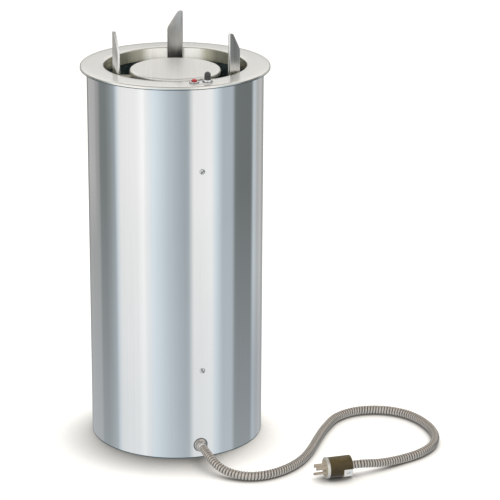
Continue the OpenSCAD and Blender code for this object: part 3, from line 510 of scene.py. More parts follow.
def moulded(name, colour, roughness, mottle=None, grain=800, relief=0.2, sockets=()):
    """Moulded plastic, rubber or ceramic: a faint grain and slow changes of colour."""
    f = Finish(name, **dict(sockets))
    cloud = f.noise(60, 4.0, 0.6)
    skin = f.noise(grain, 3.0)
    tone = f.ramp(cloud, [(0.3, mottle or shade(colour, 0.82)), (0.7, colour)])
    return f.set(Base_Color=tone, Roughness=f.spread(skin, roughness * 0.8, min(1, roughness * 1.25)),
                 Normal=f.bump(skin, relief, 0.0001))


def ribbed_metal(name, crest, joint_shade):
    """The conduit: pale crests with random wear, and dark brown painted shade in the joints of its winding."""
    f = Finish(name, Metallic=1.0)
    height = f.node("Attribute", "Fac", {}, attribute_name="rib_height")
    wear = f.noise(160, 4.0, 0.6)
    shoulder = tuple(a * 0.35 + b * 0.65 for a, b in zip(crest, joint_shade))
    # Painted shade: darker from the crests down into the joints.
    tone = f.ramp(height, [(0.05, joint_shade), (0.38, shoulder), (0.7, crest)])
    tone = f.blend(tone, shade(crest, 0.8), f.spread(wear, 0.0, 0.5, 0.45, 0.8))
    rough = f.mean(f.spread(height, 0.62, 0.3, 0.0, 1.0), f.spread(wear, 0.25, 0.5), 0.4)
    return f.set(Base_Color=tone, Roughness=rough, Normal=f.bump(wear, 0.12, 0.0001))


GLOW = {"Base_Color": (0, 0, 0), "Specular_IOR_Level": 0.0, "Emission_Strength": 1.0}
FINISHES = {}


def recipes(steel, soft):
    """The maker of each finish, with what it is given after the name."""
    return {
        "shell_sheet": (brushed, steel.shell_colour, steel.shell_roughness, (700, 700, 2), 0.03, 0.04),
        # painted shade: dark teal strips at the shell's foot, along the lip's lower edge and at the collar's lower edge
        "cut_edge": (brushed, (0.11, 0.16, 0.18), 0.4, (3, 3, 900), 0.1),
        "collar_sheet": (spun_wall,),
        "seam_weld": (heat_darkened, (0.45, 0.45, 0.46), (0.33, 0.29, 0.24)),
        "rim_sheet": (brushed, steel.rim_colour, steel.rim_roughness, (260, 5, 5), 0.03, 0.04),
        "platform_sheet": (brushed, steel.platform_colour, 0.4, (420, 5, 5), 0.06, 0.1),
        "guide_bar": (brushed, steel.guide_colour, 0.26, (500, 500, 5), 0.07, 0.1),
        # painted shade: a darker copy of the guide steel, for the rear guide
        "guide_bar_dull": (brushed, shade(steel.guide_colour, 0.72), 0.3, (500, 500, 5), 0.09, 0.12),
        # painted highlight: a paler copy of the guide steel, for the guides' narrow sides
        "guide_side": (brushed, (0.90, 0.90, 0.90), 0.22, (500, 500, 5), 0.04, 0.05),
        # painted shade: the liner is made dark teal for the shade deep in the well
        "liner_sheet": (zinc_coated, (0.17, 0.23, 0.23)),
        "pan_sheet": (zinc_coated, (0.46, 0.47, 0.47)),
        "carrier_sheet": (brushed, (0.36, 0.33, 0.27), 0.42, (300, 6, 6)),
        "drawn_rod": (brushed, (0.62, 0.62, 0.63), 0.22, (30, 30, 500)),
        "bright_plate": (plated, (0.84, 0.84, 0.85)),
        "screw_plate": (plated, (0.74, 0.74, 0.73), 0.2),
        "gland_plate": (plated, (0.56, 0.52, 0.48), 0.16),
        "clamp_plate": (plated, (0.95, 0.93, 0.90), 0.24),
        # painted shade: slot floors near black, for the shade inside the slots
        "slot_floor": (plated, (0.07, 0.07, 0.07), 0.5),
        "spring_wire": (brushed, (0.46, 0.47, 0.49), 0.3, (60, 60, 900)),
        "guard_steel": (heat_darkened, (0.20, 0.20, 0.21), (0.24, 0.18, 0.13)),
        "element_sheath": (heat_darkened, (0.16, 0.15, 0.15), (0.22, 0.14, 0.09)),
        # painted shade: the dark brown in the conduit's joints
        "conduit_strip": (ribbed_metal, steel.conduit_colour, (0.10, 0.055, 0.03)),
        "contact_brass": (plated, (0.50, 0.42, 0.34), 0.16),
        "shim_brass": (plated, (0.66, 0.40, 0.20), 0.3),
        "washer_brass": (plated, (0.60, 0.46, 0.24), 0.35),
        "red_lens": (moulded, soft.lens_colour, 0.12, shade(soft.lens_colour, 0.7), 300, 0.06,
                     {"Transmission_Weight": 0.25, "Coat_Weight": 0.6, "Coat_Roughness": 0.05, "IOR": 1.5}),
        "black_plastic": (moulded, (0.03, 0.03, 0.03), 0.45),
        # a dark brown rubber gasket, its darkness also painted shade for the gap under the bezel and the nut
        "gasket_brown": (moulded, (0.07, 0.045, 0.03), 0.6),
        "plug_brown": (moulded, soft.plug_colour, 0.35, shade(soft.plug_colour, 0.55), 700, 0.25,
                       {"Coat_Weight": 0.1, "Coat_Roughness": 0.3, "Specular_IOR_Level": 0.3}),
        "plug_band": (plated, (0.78, 0.75, 0.70), 0.3),
        "plug_cream": (moulded, (0.72, 0.62, 0.47), 0.38, (0.58, 0.46, 0.31)),
        "ceramic": (moulded, (0.80, 0.77, 0.70), 0.25, None, 800, 0.2, {"Coat_Weight": 0.4, "Coat_Roughness": 0.1}),
        "nylon": (moulded, (0.74, 0.71, 0.62), 0.42, None, 800, 0.2, {"Subsurface_Weight": 0.1}),
        "buffer_rubber": (moulded, (0.03, 0.03, 0.03), 0.75, None, 500, 0.4),
        "boot_rubber": (moulded, soft.boot_colour, 0.5, None, 900, 0.3, {"Coat_Weight": 0.4, "Coat_Roughness": 0.3}),
        "wire_sleeve": (moulded, (0.40, 0.06, 0.04), 0.5, None, 1200, 0.5),
    }


def finish(name):
    """The finishes are made once, when a piece first asks for them."""
    if name not in FINISHES:
        scene = bpy.context.scene
        maker, *given = recipes(scene.dispenser_steel, scene.dispenser_mouldings)[name]
        FINISHES[name] = maker(name, *given)
    return FINISHES[name]


# ---- What a user may change ----

class SteelSettings(bpy.types.PropertyGroup):
    """Colours and gloss of the sheet steel, the guides and the conduit."""

    shell_colour: bpy.props.FloatVectorProperty(
        name="Shell", description="Colour of the satin shell", subtype="COLOR", size=3, min=0, max=1,
        default=(0.80, 0.82, 0.84))
    shell_roughness: bpy.props.FloatProperty(
        name="Shell roughness", description="How soft the shell mirrors the room", subtype="FACTOR", min=0.05, max=0.6,
        default=0.09)
    rim_colour: bpy.props.FloatVectorProperty(
        name="Flange", description="Colour of the pale flange", subtype="COLOR", size=3, min=0, max=1,
        default=(0.90, 0.885, 0.85))
    platform_colour: bpy.props.FloatVectorProperty(
        name="Platform", description="Colour of the pale platform", subtype="COLOR", size=3, min=0, max=1,
        default=(0.94, 0.93, 0.90))
    rim_roughness: bpy.props.FloatProperty(
        name="Rim roughness", description="How soft the flange mirrors the room", subtype="FACTOR", min=0.05, max=0.6,
        default=0.2)
    guide_colour: bpy.props.FloatVectorProperty(
        name="Guides", description="Colour of the plate guides", subtype="COLOR", size=3, min=0, max=1,
        default=(0.74, 0.73, 0.71))
    conduit_colour: bpy.props.FloatVectorProperty(
        name="Conduit", description="Colour of the conduit's crests", subtype="COLOR", size=3, min=0, max=1,
        default=(0.70, 0.65, 0.595))


class SheetSettings(bpy.types.PropertyGroup):
    """Sizes of the bends and edges of the sheet pieces."""

    lip_bend: bpy.props.FloatProperty(
        name="Lip bend", description="Outer radius of the bend at the flange's edge", unit="LENGTH", min=0.0016,
        max=0.004, default=0.003)
    collar_bend: bpy.props.FloatProperty(
        name="Collar bend", description="Outer radius of the bend at the throat", unit="LENGTH", min=0.0016,
        max=0.004, default=0.0025)
    round_steps: bpy.props.IntProperty(
        name="Steps round", description="Facets round the shell and the flange", min=96, max=360, default=240)


class GuideSettings(bpy.types.PropertyGroup):
    """Shape of the plate guides."""

    slope_height: bpy.props.FloatProperty(
        name="Slope height", description="Height of the slope at a guide's tip", unit="LENGTH", min=0.024, max=0.036,
        default=0.031)
    flat_width: bpy.props.FloatProperty(
        name="Flat width", description="Width of the flat at a guide's tip", unit="LENGTH", min=0.006, max=0.01,
        default=0.008)
    edge_round: bpy.props.FloatProperty(
        name="Edge round", description="Rounding of a guide's long edges", unit="LENGTH", min=0.0002, max=0.0012,
        default=0.0007)


class ConduitSettings(bpy.types.PropertyGroup):
    """Winding of the flexible conduit."""

    groove_depth: bpy.props.FloatProperty(
        name="Groove depth", description="Depth of the joints between the ribs", unit="LENGTH", min=0.0005,
        max=0.0016, default=0.0013)
    sides: bpy.props.IntProperty(
        name="Sides", description="Facets round the conduit", min=12, max=28, default=20)


class MouldingSettings(bpy.types.PropertyGroup):
    """Colours of the lamp, the boot and the plug."""

    lens_colour: bpy.props.FloatVectorProperty(
        name="Lens", description="Colour of the pilot lamp", subtype="COLOR", size=3, min=0, max=1,
        default=(0.70, 0.02, 0.03))
    boot_colour: bpy.props.FloatVectorProperty(
        name="Boot", description="Colour of the switch's boot", subtype="COLOR", size=3, min=0, max=1,
        default=(0.055, 0.06, 0.06))
    plug_colour: bpy.props.FloatVectorProperty(
        name="Plug", description="Colour of the plug's body", subtype="COLOR", size=3, min=0, max=1,
        default=(0.112, 0.076, 0.023))


class StageSettings(bpy.types.PropertyGroup):
    """Light and floor."""

    daylight: bpy.props.FloatProperty(
        name="Room light", description="Strength of the even light of the room", min=0, max=2, default=0.55)
    key_power: bpy.props.FloatProperty(
        name="Key lamp", description="Power of the soft lamp above", unit="POWER", min=0, max=400, default=70)
    floor_colour: bpy.props.FloatVectorProperty(
        name="Floor", description="Colour of the floor", subtype="COLOR", size=3, min=0, max=1,
        default=(0.31, 0.293, 0.268))
    floor_lift: bpy.props.FloatProperty(
        name="Floor lift", description="How far the floor is paler to the camera than it is lit", min=0, max=1,
        default=0.88)
    shade_reach: bpy.props.FloatProperty(
        name="Shade reach", description="How far the shade at an object's foot spreads", unit="LENGTH", min=0.01,
        max=0.3, default=0.115)


# ---- Operators ----

class MakeStage(bpy.types.Operator):
    """Camera, lamps, pale floor and the panels that the steel mirrors"""

    bl_idname = "dispenser.make_stage"
    bl_label = "Stage"

    def execute(self, context):
        settings = context.scene.dispenser_stage
        context.scene.view_settings.view_transform = "Standard"
        self.make_camera(context)
        self.make_world(context, settings)
        self.make_floor(settings)
        self.make_panels()
        for name, place, size, power, colour in (
            ("key_lamp", (1.3, 1.1, 3.0), 1.8, settings.key_power, (1.0, 0.985, 0.96)),
            ("fill_lamp", (-2.0, -2.4, 2.4), 2.2, settings.key_power * 0.45, (0.96, 0.98, 1.0)),
        ):
            data = bpy.data.lights.new(name, "AREA")
            data.shape, data.size, data.energy, data.color = "DISK", size, power, colour
            lamp = bpy.data.objects.new(name, data)
            lamp.location = place
            lamp.rotation_euler = (Vector((0, 0, 0.3)) - Vector(place)).to_track_quat("-Z", "Y").to_euler()
            lamp.visible_glossy = False
            context.scene.collection.objects.link(lamp)
        return {"FINISHED"}

    def make_camera(self, context):
        eye, pitch, yaw, roll = (0, -3.79293, 1.60415), 0.32317, 0.03443, 0.00611
        ahead = Vector((math.sin(yaw) * math.cos(pitch), math.cos(yaw) * math.cos(pitch), -math.sin(pitch)))
        right = Vector((math.cos(yaw), -math.sin(yaw), 0))
        up = right.cross(ahead)
        x = right * math.cos(roll) + up * math.sin(roll)
        y = up * math.cos(roll) - right * math.sin(roll)
        data = bpy.data.cameras.new("camera")
        data.lens, data.sensor_width = 162.87, 36
        data.clip_start, data.clip_end = 0.1, 60
        camera = bpy.data.objects.new("camera", data)
        turn = Matrix((x, y, -ahead)).transposed().to_4x4()
        camera.matrix_world = Matrix.Translation(eye) @ turn
        context.scene.collection.objects.link(camera)
        context.scene.camera = camera

    def make_world(self, context, settings):
        world = bpy.data.worlds.new("room")
        tree = Tree(world)
        even = tree.node("Background", 0, {"Color": (0.97, 0.985, 1.0), "Strength": settings.daylight})
        white = tree.node("Background", 0, {"Color": (1, 1, 1), "Strength": 1})
        tree.fill(tree.nodes["World Output"].inputs["Surface"],
                  tree.node("MixShader", 0, {0: tree.seen_direct(), 1: even, 2: white}))
        context.scene.world = world

    def make_floor(self, settings):
        bm = bmesh.new()
        bmesh.ops.create_grid(bm, x_segments=1, y_segments=1, size=25)
        floor = piece("floor", bm, None, [self.floor_paint(settings)], mirrored=False)

    def floor_paint(self, settings):
        """Lit like paper. To the camera it is paler still, apart from the soft shade close to what stands on it."""
        f = Finish("floor_paint", Roughness=0.9, Specular_IOR_Level=0.0, Emission_Color=(1, 0.985, 0.955))
        tone = f.ramp(f.noise(3, 2.0), [(0.3, shade(settings.floor_colour, 0.995)), (0.7, settings.floor_colour)])
        leaning = f.node("CombineXYZ", 0, {"X": 0.08, "Y": 0.62, "Z": 0.78})
        near = f.node("AmbientOcclusion", "AO", {"Distance": settings.shade_reach, "Normal": leaning}, samples=24)
        shaded = f.spread(near, 0.0, settings.floor_lift, 0.34, 0.86)
        lift = f.node("Math", 0, {0: f.seen_direct(), 1: shaded}, operation="MULTIPLY")
        return f.set(Base_Color=tone, Emission_Strength=lift)

    def make_panels(self):
        """A round wall of pale and dark studio panels under a dim ceiling. Only mirror reflections see them."""
        bm = bmesh.new()
        low, high = (bm.verts.new((PANELS_R, 0, z)) for z in (PANELS_LOW, PANELS_TOP))
        edge = bm.edges.new((low, high))
        bmesh.ops.spin(bm, geom=[low, high, edge], cent=(0, 0, 0), axis=(0, 0, 1), angle=2 * math.pi, steps=96,
                       use_merge=True)
        wall = piece("studio_panels", bm, None, [self.panel_light()])
        bm = bmesh.new()
        bmesh.ops.create_circle(bm, cap_ends=True, radius=PANELS_R, segments=96, matrix=moved(0, 0, PANELS_TOP))
        f = Finish("ceiling_light", **GLOW)
        f.set(Emission_Color=f.ramp(f.noise(0.8, 1.0), [(0.35, (0.38, 0.36, 0.34)), (0.65, (0.52, 0.50, 0.47))]))
        ceiling = piece("studio_ceiling", bm, None, [f.material])
        for screen in (wall, ceiling):
            screen.visible_camera = screen.visible_diffuse = False
            screen.visible_shadow = screen.visible_transmission = False

    def panel_light(self):
        """What each way round the object mirrors: angle from the front, brightness, and which tint it has."""
        f = Finish("panel_light", **GLOW)
        panels = (
            (-180, 0.25, 1), (-163, 0.25, 1), (-150, 0.39, 0), (-118, 0.38, 0), (-113, 0.24, 1), (-101, 0.235, 1),
            (-93, 0.31, 1), (-84, 0.44, 2), (-80, 0.78, 2), (-75, 0.95, 0), (-50, 1.0, 0), (-42, 1.15, 0),
            (-37, 0.99, 0), (-28, 0.92, 2), (-12, 0.69, 2), (0, 0.55, 2), (12, 0.455, 2), (16, 0.48, 2),
            (22, 0.97, 0), (46, 1.02, 0), (52, 0.85, 2), (62, 0.55, 2), (77, 0.54, 2), (82, 0.20, 1), (114, 0.19, 1),
            (121, 0.70, 2), (132, 0.48, 0), (145, 0.58, 0), (151, 0.44, 0), (162, 0.34, 1), (180, 0.25, 1),
        )
        tints = ((1.015, 1.0, 0.97), (0.93, 1.0, 0.97), (0.91, 1.0, 1.05))
        light = f.around([(a, tuple(level * t for t in tints[tint])) for a, level, tint in panels])
        height = f.node("SeparateXYZ", "Z", {"Vector": f.place()})
        plain, strong = (1, 1, 1), (1.3, 1.3, 1.3)
        dim = f.around([(-180, plain), (112, plain), (119, (0.70, 0.71, 0.73)), (150, (0.80, 0.80, 0.82)),
                        (180, plain)])
        light = f.blend(light, dim, f.spread(height, 1.0, 0.0, -0.68, -0.42), "MULTIPLY")
        lit = f.around([(-180, plain), (-158, plain), (-152, strong), (-130, strong), (-122, plain), (180, plain)])
        light = f.blend(light, lit, f.spread(height, 0.0, 1.0, -0.35, -0.15), "MULTIPLY")
        light = f.blend(light, (0.64, 0.69, 0.73), f.spread(height, 0.5, 0.0, -1.25, -0.15))
        light = f.blend(light, (0.97, 0.965, 0.95), f.spread(height, 0.0, 0.9, 1.0, 1.2))
        return f.set(Emission_Color=light)


class MakeConduit(bpy.types.Operator):
    """Ribbed flexible conduit from the gland to the plug"""

    bl_idname = "dispenser.make_conduit"
    bl_label = "Conduit"

    def execute(self, context):
        settings = context.scene.dispenser_conduit
        route = conduit_route()
        total = route_length(route)
        rib = (1.0, 0.55, 0.10, 0.0, 0.10, 0.55)  # depths from a joint at 1 over the crest at 0
        steps, lean, bored, reach = RIBS * len(rib), 0.0007, 0.012, 2 * CONDUIT_R
        points = along(route, [total * i / steps for i in range(steps + 1)])
        radii = [CONDUIT_R - settings.groove_depth * rib[i % len(rib)] for i in range(steps + 1)]
        bm = sweep(points, radii, settings.sides, lean, "rib_height")
        for end, ahead in ((points[0], points[0] - points[1]), (points[-1], points[-1] - points[-2])):
            face = bmesh.ops.extrude_edge_only(bm, edges=open_edges(bm, end, reach))["geom"]
            for vert in only(face, "BMVert"):
                vert.co = end + (vert.co - end) * (CONDUIT_BORE_R / CONDUIT_R)
            bore = bmesh.ops.extrude_edge_only(bm, edges=open_edges(bm, end, reach))["geom"]
            bmesh.ops.translate(bm, vec=-ahead.normalized() * bored, verts=only(bore, "BMVert"))
            bmesh.ops.holes_fill(bm, edges=open_edges(bm, end, reach), sides=0)
        bmesh.ops.recalc_face_normals(bm, faces=bm.faces)
        obj = piece("conduit", bm, CASING, ["conduit_strip"], ("power_conduit",), smooth=60,
                    mirrored=False)
        return {"FINISHED"}


def along(route, distances):
    """Points at the given distances along a route."""
    found, i, done = [], 0, 0.0
    for s in distances:
        while i < len(route) - 2 and done + (route[i + 1] - route[i]).length < s:
            done += (route[i + 1] - route[i]).length
            i += 1
        step = (route[i + 1] - route[i]).length
        found.append(route[i].lerp(route[i + 1], min(1.0, (s - done) / step)))
    return found


class MakeShell(bpy.types.Operator):
    """Rolled sheet shell with its welded seam at the back"""

    bl_idname = "dispenser.make_shell"
    bl_label = "Shell"

    def execute(self, context):
        steps = context.scene.dispenser_sheet.round_steps
        dark = 0.0015  # height of the strip of painted shade at the foot
        wall = lathe([(SHELL_IR, dark), (SHELL_IR, EDGE), (SHELL_IR + EDGE, 0), (SHELL_R - EDGE, 0), (SHELL_R, EDGE),
                      (SHELL_R, dark), (SHELL_R, 0.02), (SHELL_R, 0.34), (SHELL_R, SHELL_TOP), (SHELL_IR, SHELL_TOP)],
                     steps, closed=True)
        lap_t, lap_half_w, lap_low, lap_high = 0.00105, 0.007, 0.0115, 0.6555
        lap = block((SHELL_IR - lap_t, -lap_half_w, lap_low), (SHELL_IR + 0.0002, lap_half_w, lap_high),
                    place=turned(90))
        low, pitch, count = 0.004, 0.0022, 300
        ripples = [(0.0011 if i % 2 else 0.0014, low + pitch * i) for i in range(count + 1)]
        bead = lathe([(0, low)] + ripples + [(0, low + pitch * count)], 8, place=moved(0, SHELL_R + 0.0001, 0))
        whole = together(wall, lap, (bead, 1))
        # Painted shade: a dark teal strip round the foot of the shell.
        paint_below(whole, dark, 2)
        piece("shell", whole, CASING, ["shell_sheet", "seam_weld", "cut_edge"], ("outer_shell",),
              smooth=30)
        return {"FINISHED"}


def paint_below(bm, height, number, above=0.0, outside=0.0, inside=1.0):
    """Gives another material to the faces between two heights and two radii."""
    for face in bm.faces:
        middle = face.calc_center_median()
        if above <= middle.z < height and outside <= middle.xy.length <= inside:
            face.material_index = number


class MakeRim(bpy.types.Operator):
    """Flat flange with its turned-down lip, collar and skirt"""

    bl_idname = "dispenser.make_rim"
    bl_label = "Flange"

    def execute(self, context):
        sheet = context.scene.dispenser_sheet
        lip, collar, t = sheet.lip_bend, sheet.collar_bend, SHEET
        lip_at, collar_at = (RIM_R - lip, RIM_TOP - lip), (THROAT_R + collar, RIM_TOP - collar)
        collar_shade_top, lip_shade_top = COLLAR_Z + 0.0007, RIM_LIP_Z + 0.0014  # below these the edges get a strip of painted shade
        outline = [(THROAT_R + EDGE, COLLAR_Z), (THROAT_R, COLLAR_Z + EDGE), (THROAT_R, collar_shade_top)]
        outline += arc(collar_at, collar, 180, 90)
        outline += [(THROAT_R + 0.012, RIM_TOP), (RIM_R - 0.012, RIM_TOP)]
        outline += arc(lip_at, lip, 90, 0)
        outline += [(RIM_R, lip_shade_top), (RIM_R, RIM_LIP_Z + EDGE), (RIM_R - EDGE, RIM_LIP_Z),
                    (RIM_R - t + EDGE, RIM_LIP_Z), (RIM_R - t, RIM_LIP_Z + EDGE)]
        outline += arc(lip_at, lip - t, 0, 90)
        outline += arc(collar_at, collar - t, 90, 180)
        outline += [(THROAT_R + t, COLLAR_Z + EDGE), (THROAT_R + t - EDGE, COLLAR_Z)]
        flange = lathe(outline, sheet.round_steps, closed=True)
        skirt = ring(SKIRT_R, SKIRT_IR, SKIRT_LOW, SKIRT_TOP, steps=sheet.round_steps // 2)
        whole = together(flange, skirt)
        paint_below(whole, RIM_TOP - 0.0012, 1, collar_shade_top, inside=THROAT_R + 0.0008)
        # Painted shade: dark teal strips at the collar's lower edge and along the lip's lower edge.
        paint_below(whole, collar_shade_top, 2)
        paint_below(whole, lip_shade_top, 2, outside=RIM_R - 0.002)
        for offset, radius in CONTROL_HOLES:
            pierce(whole, at_control(offset).translation, radius, RIM_TOP - t - 0.0002)
        piece("rim", whole, CASING, ["rim_sheet", "collar_sheet", "cut_edge"], ("top_flange",),
              smooth=30)
        return {"FINISHED"}


class MakePlatform(bpy.types.Operator):
    """Plate platform with its rolled edge"""

    bl_idname = "dispenser.make_platform"
    bl_label = "Platform"

    def execute(self, context):
        bend, t = 0.0045, 0.0012
        at = (PLATFORM_R - bend, PLATFORM_TOP - bend)
        outline = [(0, PLATFORM_TOP), (0.03, PLATFORM_TOP), (0.06, PLATFORM_TOP), (0.072, PLATFORM_TOP)]
        outline += arc(at, bend, 90, 0, 10)
        outline += [(PLATFORM_R, PLATFORM_LOW + EDGE), (PLATFORM_R - EDGE, PLATFORM_LOW),
                    (PLATFORM_R - t + EDGE, PLATFORM_LOW), (PLATFORM_R - t, PLATFORM_LOW + EDGE)]
        outline += arc(at, bend - t, 0, 90)
        outline += [(0, PLATFORM_TOP - t)]
        piece("platform_plate", lathe(outline, 192), CARRIER, ["platform_sheet"], ("platform",),
              smooth=30)
        return {"FINISHED"}


class MakeGuides(bpy.types.Operator):
    """Three flat plate guides with sloped tips and the knuckles that they turn on"""

    bl_idname = "dispenser.make_guides"
    bl_label = "Plate guides"

    def execute(self, context):
        shape = context.scene.dispenser_guides
        reach, corners = GUIDE_OVER - GUIDE_W, (0.002, 0.001, 0, 0.001, 0.0026, 0.0045, 0.004)
        web_low, web_high = GUIDE_CUT - 0.001, -0.0042
        outline = [(reach, GUIDE_FOOT), (GUIDE_CUT, GUIDE_FOOT), (GUIDE_CUT, GUIDE_NOTCH), (GUIDE_OVER, GUIDE_NOTCH),
                   (GUIDE_OVER, GUIDE_TIP), (GUIDE_OVER - shape.flat_width, GUIDE_TIP),
                   (reach, GUIDE_TIP - shape.slope_height)]
        upright = turned(90, "X") @ moved(0, 0, -GUIDE_T / 2)
        for node, (body, degrees) in GUIDE_BODIES.items():
            bar = slab(outline, GUIDE_T, corners, shape.edge_round, 3)
            # The narrow sides take the paler copy of the steel, as painted highlight.
            for face in bar.faces:
                face.material_index = int(abs(face.normal.z) < 0.5)
            place = at_guide(degrees)
            parts = [put(bar, place @ upright)]
            for low in KNUCKLES:
                high = low + KNUCKLE_L
                parts.append(ring(KNUCKLE_R, KNUCKLE_IR, low, high, steps=40, place=place))
                parts.append(block((web_low, -GUIDE_T / 2, low), (web_high, GUIDE_T / 2, high), place=place))
            # The rear guide takes the darker copy of its steel, as painted shade.
            flats = "guide_bar_dull" if node == "rear_guide" else "guide_bar"
            piece(node + "_bar", together(*parts), body, [flats, "guide_side"], (node,), smooth=30)
        return {"FINISHED"}


class MakeControls(bpy.types.Operator):
    """Control plate, pilot lamp, and toggle switch under its rubber boot"""

    bl_idname = "dispenser.make_controls"
    bl_label = "Lamp and switch"

    def execute(self, context):
        lamp, switch = at_control(-CONTROL_PITCH / 2, CONTROL_Z), at_control(CONTROL_PITCH / 2, CONTROL_Z)
        outline = arc((0, CONTROL_END), CONTROL_END_R, 0, 180, 20) + arc((0, -CONTROL_END), CONTROL_END_R, 180, 360, 20)
        plate = slab(outline, CONTROL_T, round_off=0.0004, segments=3, place=at_control(0, RIM_TOP))
        for offset, radius in CONTROL_HOLES:
            pierce(plate, at_control(offset).translation, radius, RIM_TOP - 0.0002)
        piece("switch_plate", plate, CASING, ["bright_plate"], ("control_plate",))

        bezel = lathe(mm((5.05, 0), (7.5, 0), (7.5, 1.2)) + arc((0.0068, 0.0012), 0.0007, 0, 90, 6)
                      + mm((5.8, 1.2), (5.05, 1)), 64, closed=True, place=lamp)
        # The dark gasket under the bezel is also painted shade for the gap round it.
        gasket = ring(0.0085, 0.0051, 0.0, 0.0005, 0.0001, place=lamp)
        piece("lamp_ring", together(bezel, (gasket, 1)), CASING, ["bright_plate", "gasket_brown"], ("lamp_bezel",))
        dome = mm((0, 0), (5, 0), (5, 3), (5.2, 3.4), (4.9, 4.2), (4.2, 5.1), (3, 5.7), (1.5, 6), (0, 6.1))
        piece("lamp_cap", lathe(dome, 16, place=lamp), CASING, ["red_lens"], ("lamp_lens",),
              smooth=18, mirrored=False)

        nut = mm((6.3, 0), (8, 0), (8.25, 0.3), (8.25, 2.6), (7.9, 3.4), (6.9, 4), (6.3, 3.8))
        # The dark gasket under the nut is also painted shade for the gap round it.
        gasket = ring(0.0091, 0.0063, 0.0, 0.0005, 0.0001, place=switch)
        piece("switch_ring", together(lathe(nut, 64, closed=True, place=switch), (gasket, 1)), CASING,
              ["bright_plate", "gasket_brown"], ("switch_ring_nut",))
        boot = mm((4, 1.8), (5.85, 1.8), (5.95, 3.2), (5.8, 4.4), (5.3, 5), (5.6, 5.7), (5.6, 6.8), (5.2, 7.3),
                  (5.5, 8), (5.4, 10))
        boot += arc((0, 0.0114), 0.005376, 8, 90, 10)
        piece("toggle_cover", lathe(boot + [(0, 0.0170)], 48, place=switch), TOGGLE, ["boot_rubber"],
              ("toggle_boot",), smooth=50)
        return {"FINISHED"}


class MakeShellScrews(bpy.types.Operator):
    """The two slotted screws on the front of the shell"""

    bl_idname = "dispenser.make_shell_screws"
    bl_label = "Shell screws"

    def execute(self, context):
        parts = []
        for height, turn in zip(SCREW_HEIGHTS, (28, -35)):
            place = outward(WIRING_ANGLE, SHELL_R, height) @ turned(turn)
            head = lathe(mm((0, 0), (4.9, 0), (4.9, 0.5), (4.6, 1.2), (3.8, 1.9), (2.5, 2.4), (1.2, 2.6), (0, 2.7)), 48)
            parts.append(put(slotted(head, 0.0013, 0.0009, 1), place))
            parts.append(rod(0.0025, -0.0068, 0.0002, place))
        piece("shell_screws", together(*parts), CASING, ["screw_plate", "slot_floor"], ("channel_screws",))
        return {"FINISHED"}


class MakeGland(bpy.types.Operator):
    """Bright connector that holds the conduit at the foot of the shell"""

    bl_idname = "dispenser.make_gland"
    bl_label = "Gland"

    def execute(self, context):
        place = outward(GLAND_ANGLE, GLAND_SEAT, GLAND_Z)
        body = mm((5.5, -6.7), (9.4, -6.7), (9.4, 0), (11, 0), (11.4, 0.5), (11.4, 2.2))
        body += arc((0.0100, 0.0024), 0.0014, 0, 75, 5) + [(0.0092, 0.0042)]
        body += arc((0.0064, 0.0085), 0.0038, -35, 60, 8) + [(0.0080, GLAND_L - 0.001), (0.0078, GLAND_L)]
        body += [(0.0076, GLAND_L - 0.0005), (0.0076, 0.0100), (0.0055, 0.0095)]
        # The dark ring at the gland's seat is a gasket that also stands as painted shade round the flange.
        parts = [lathe(body, 64, closed=True, place=place), (ring(0.0127, 0.0095, 0, 0.0008, place=place), 1)]
        for turn in (0, 180):
            head = lathe(mm((0, 0), (2.1, 0), (2.1, 0.6), (1.5, 1.1), (0, 1.2)), 24)
            seat = place @ turned(turn) @ moved(0.0100, 0, 0.0085) @ turned(90, "Y")
            parts.append(put(slotted(head, 0.0005, 0.0004), seat))
        piece("gland", together(*parts), CASING, ["gland_plate", "black_plastic"], ("conduit_gland",),
              mirrored=False)
        return {"FINISHED"}


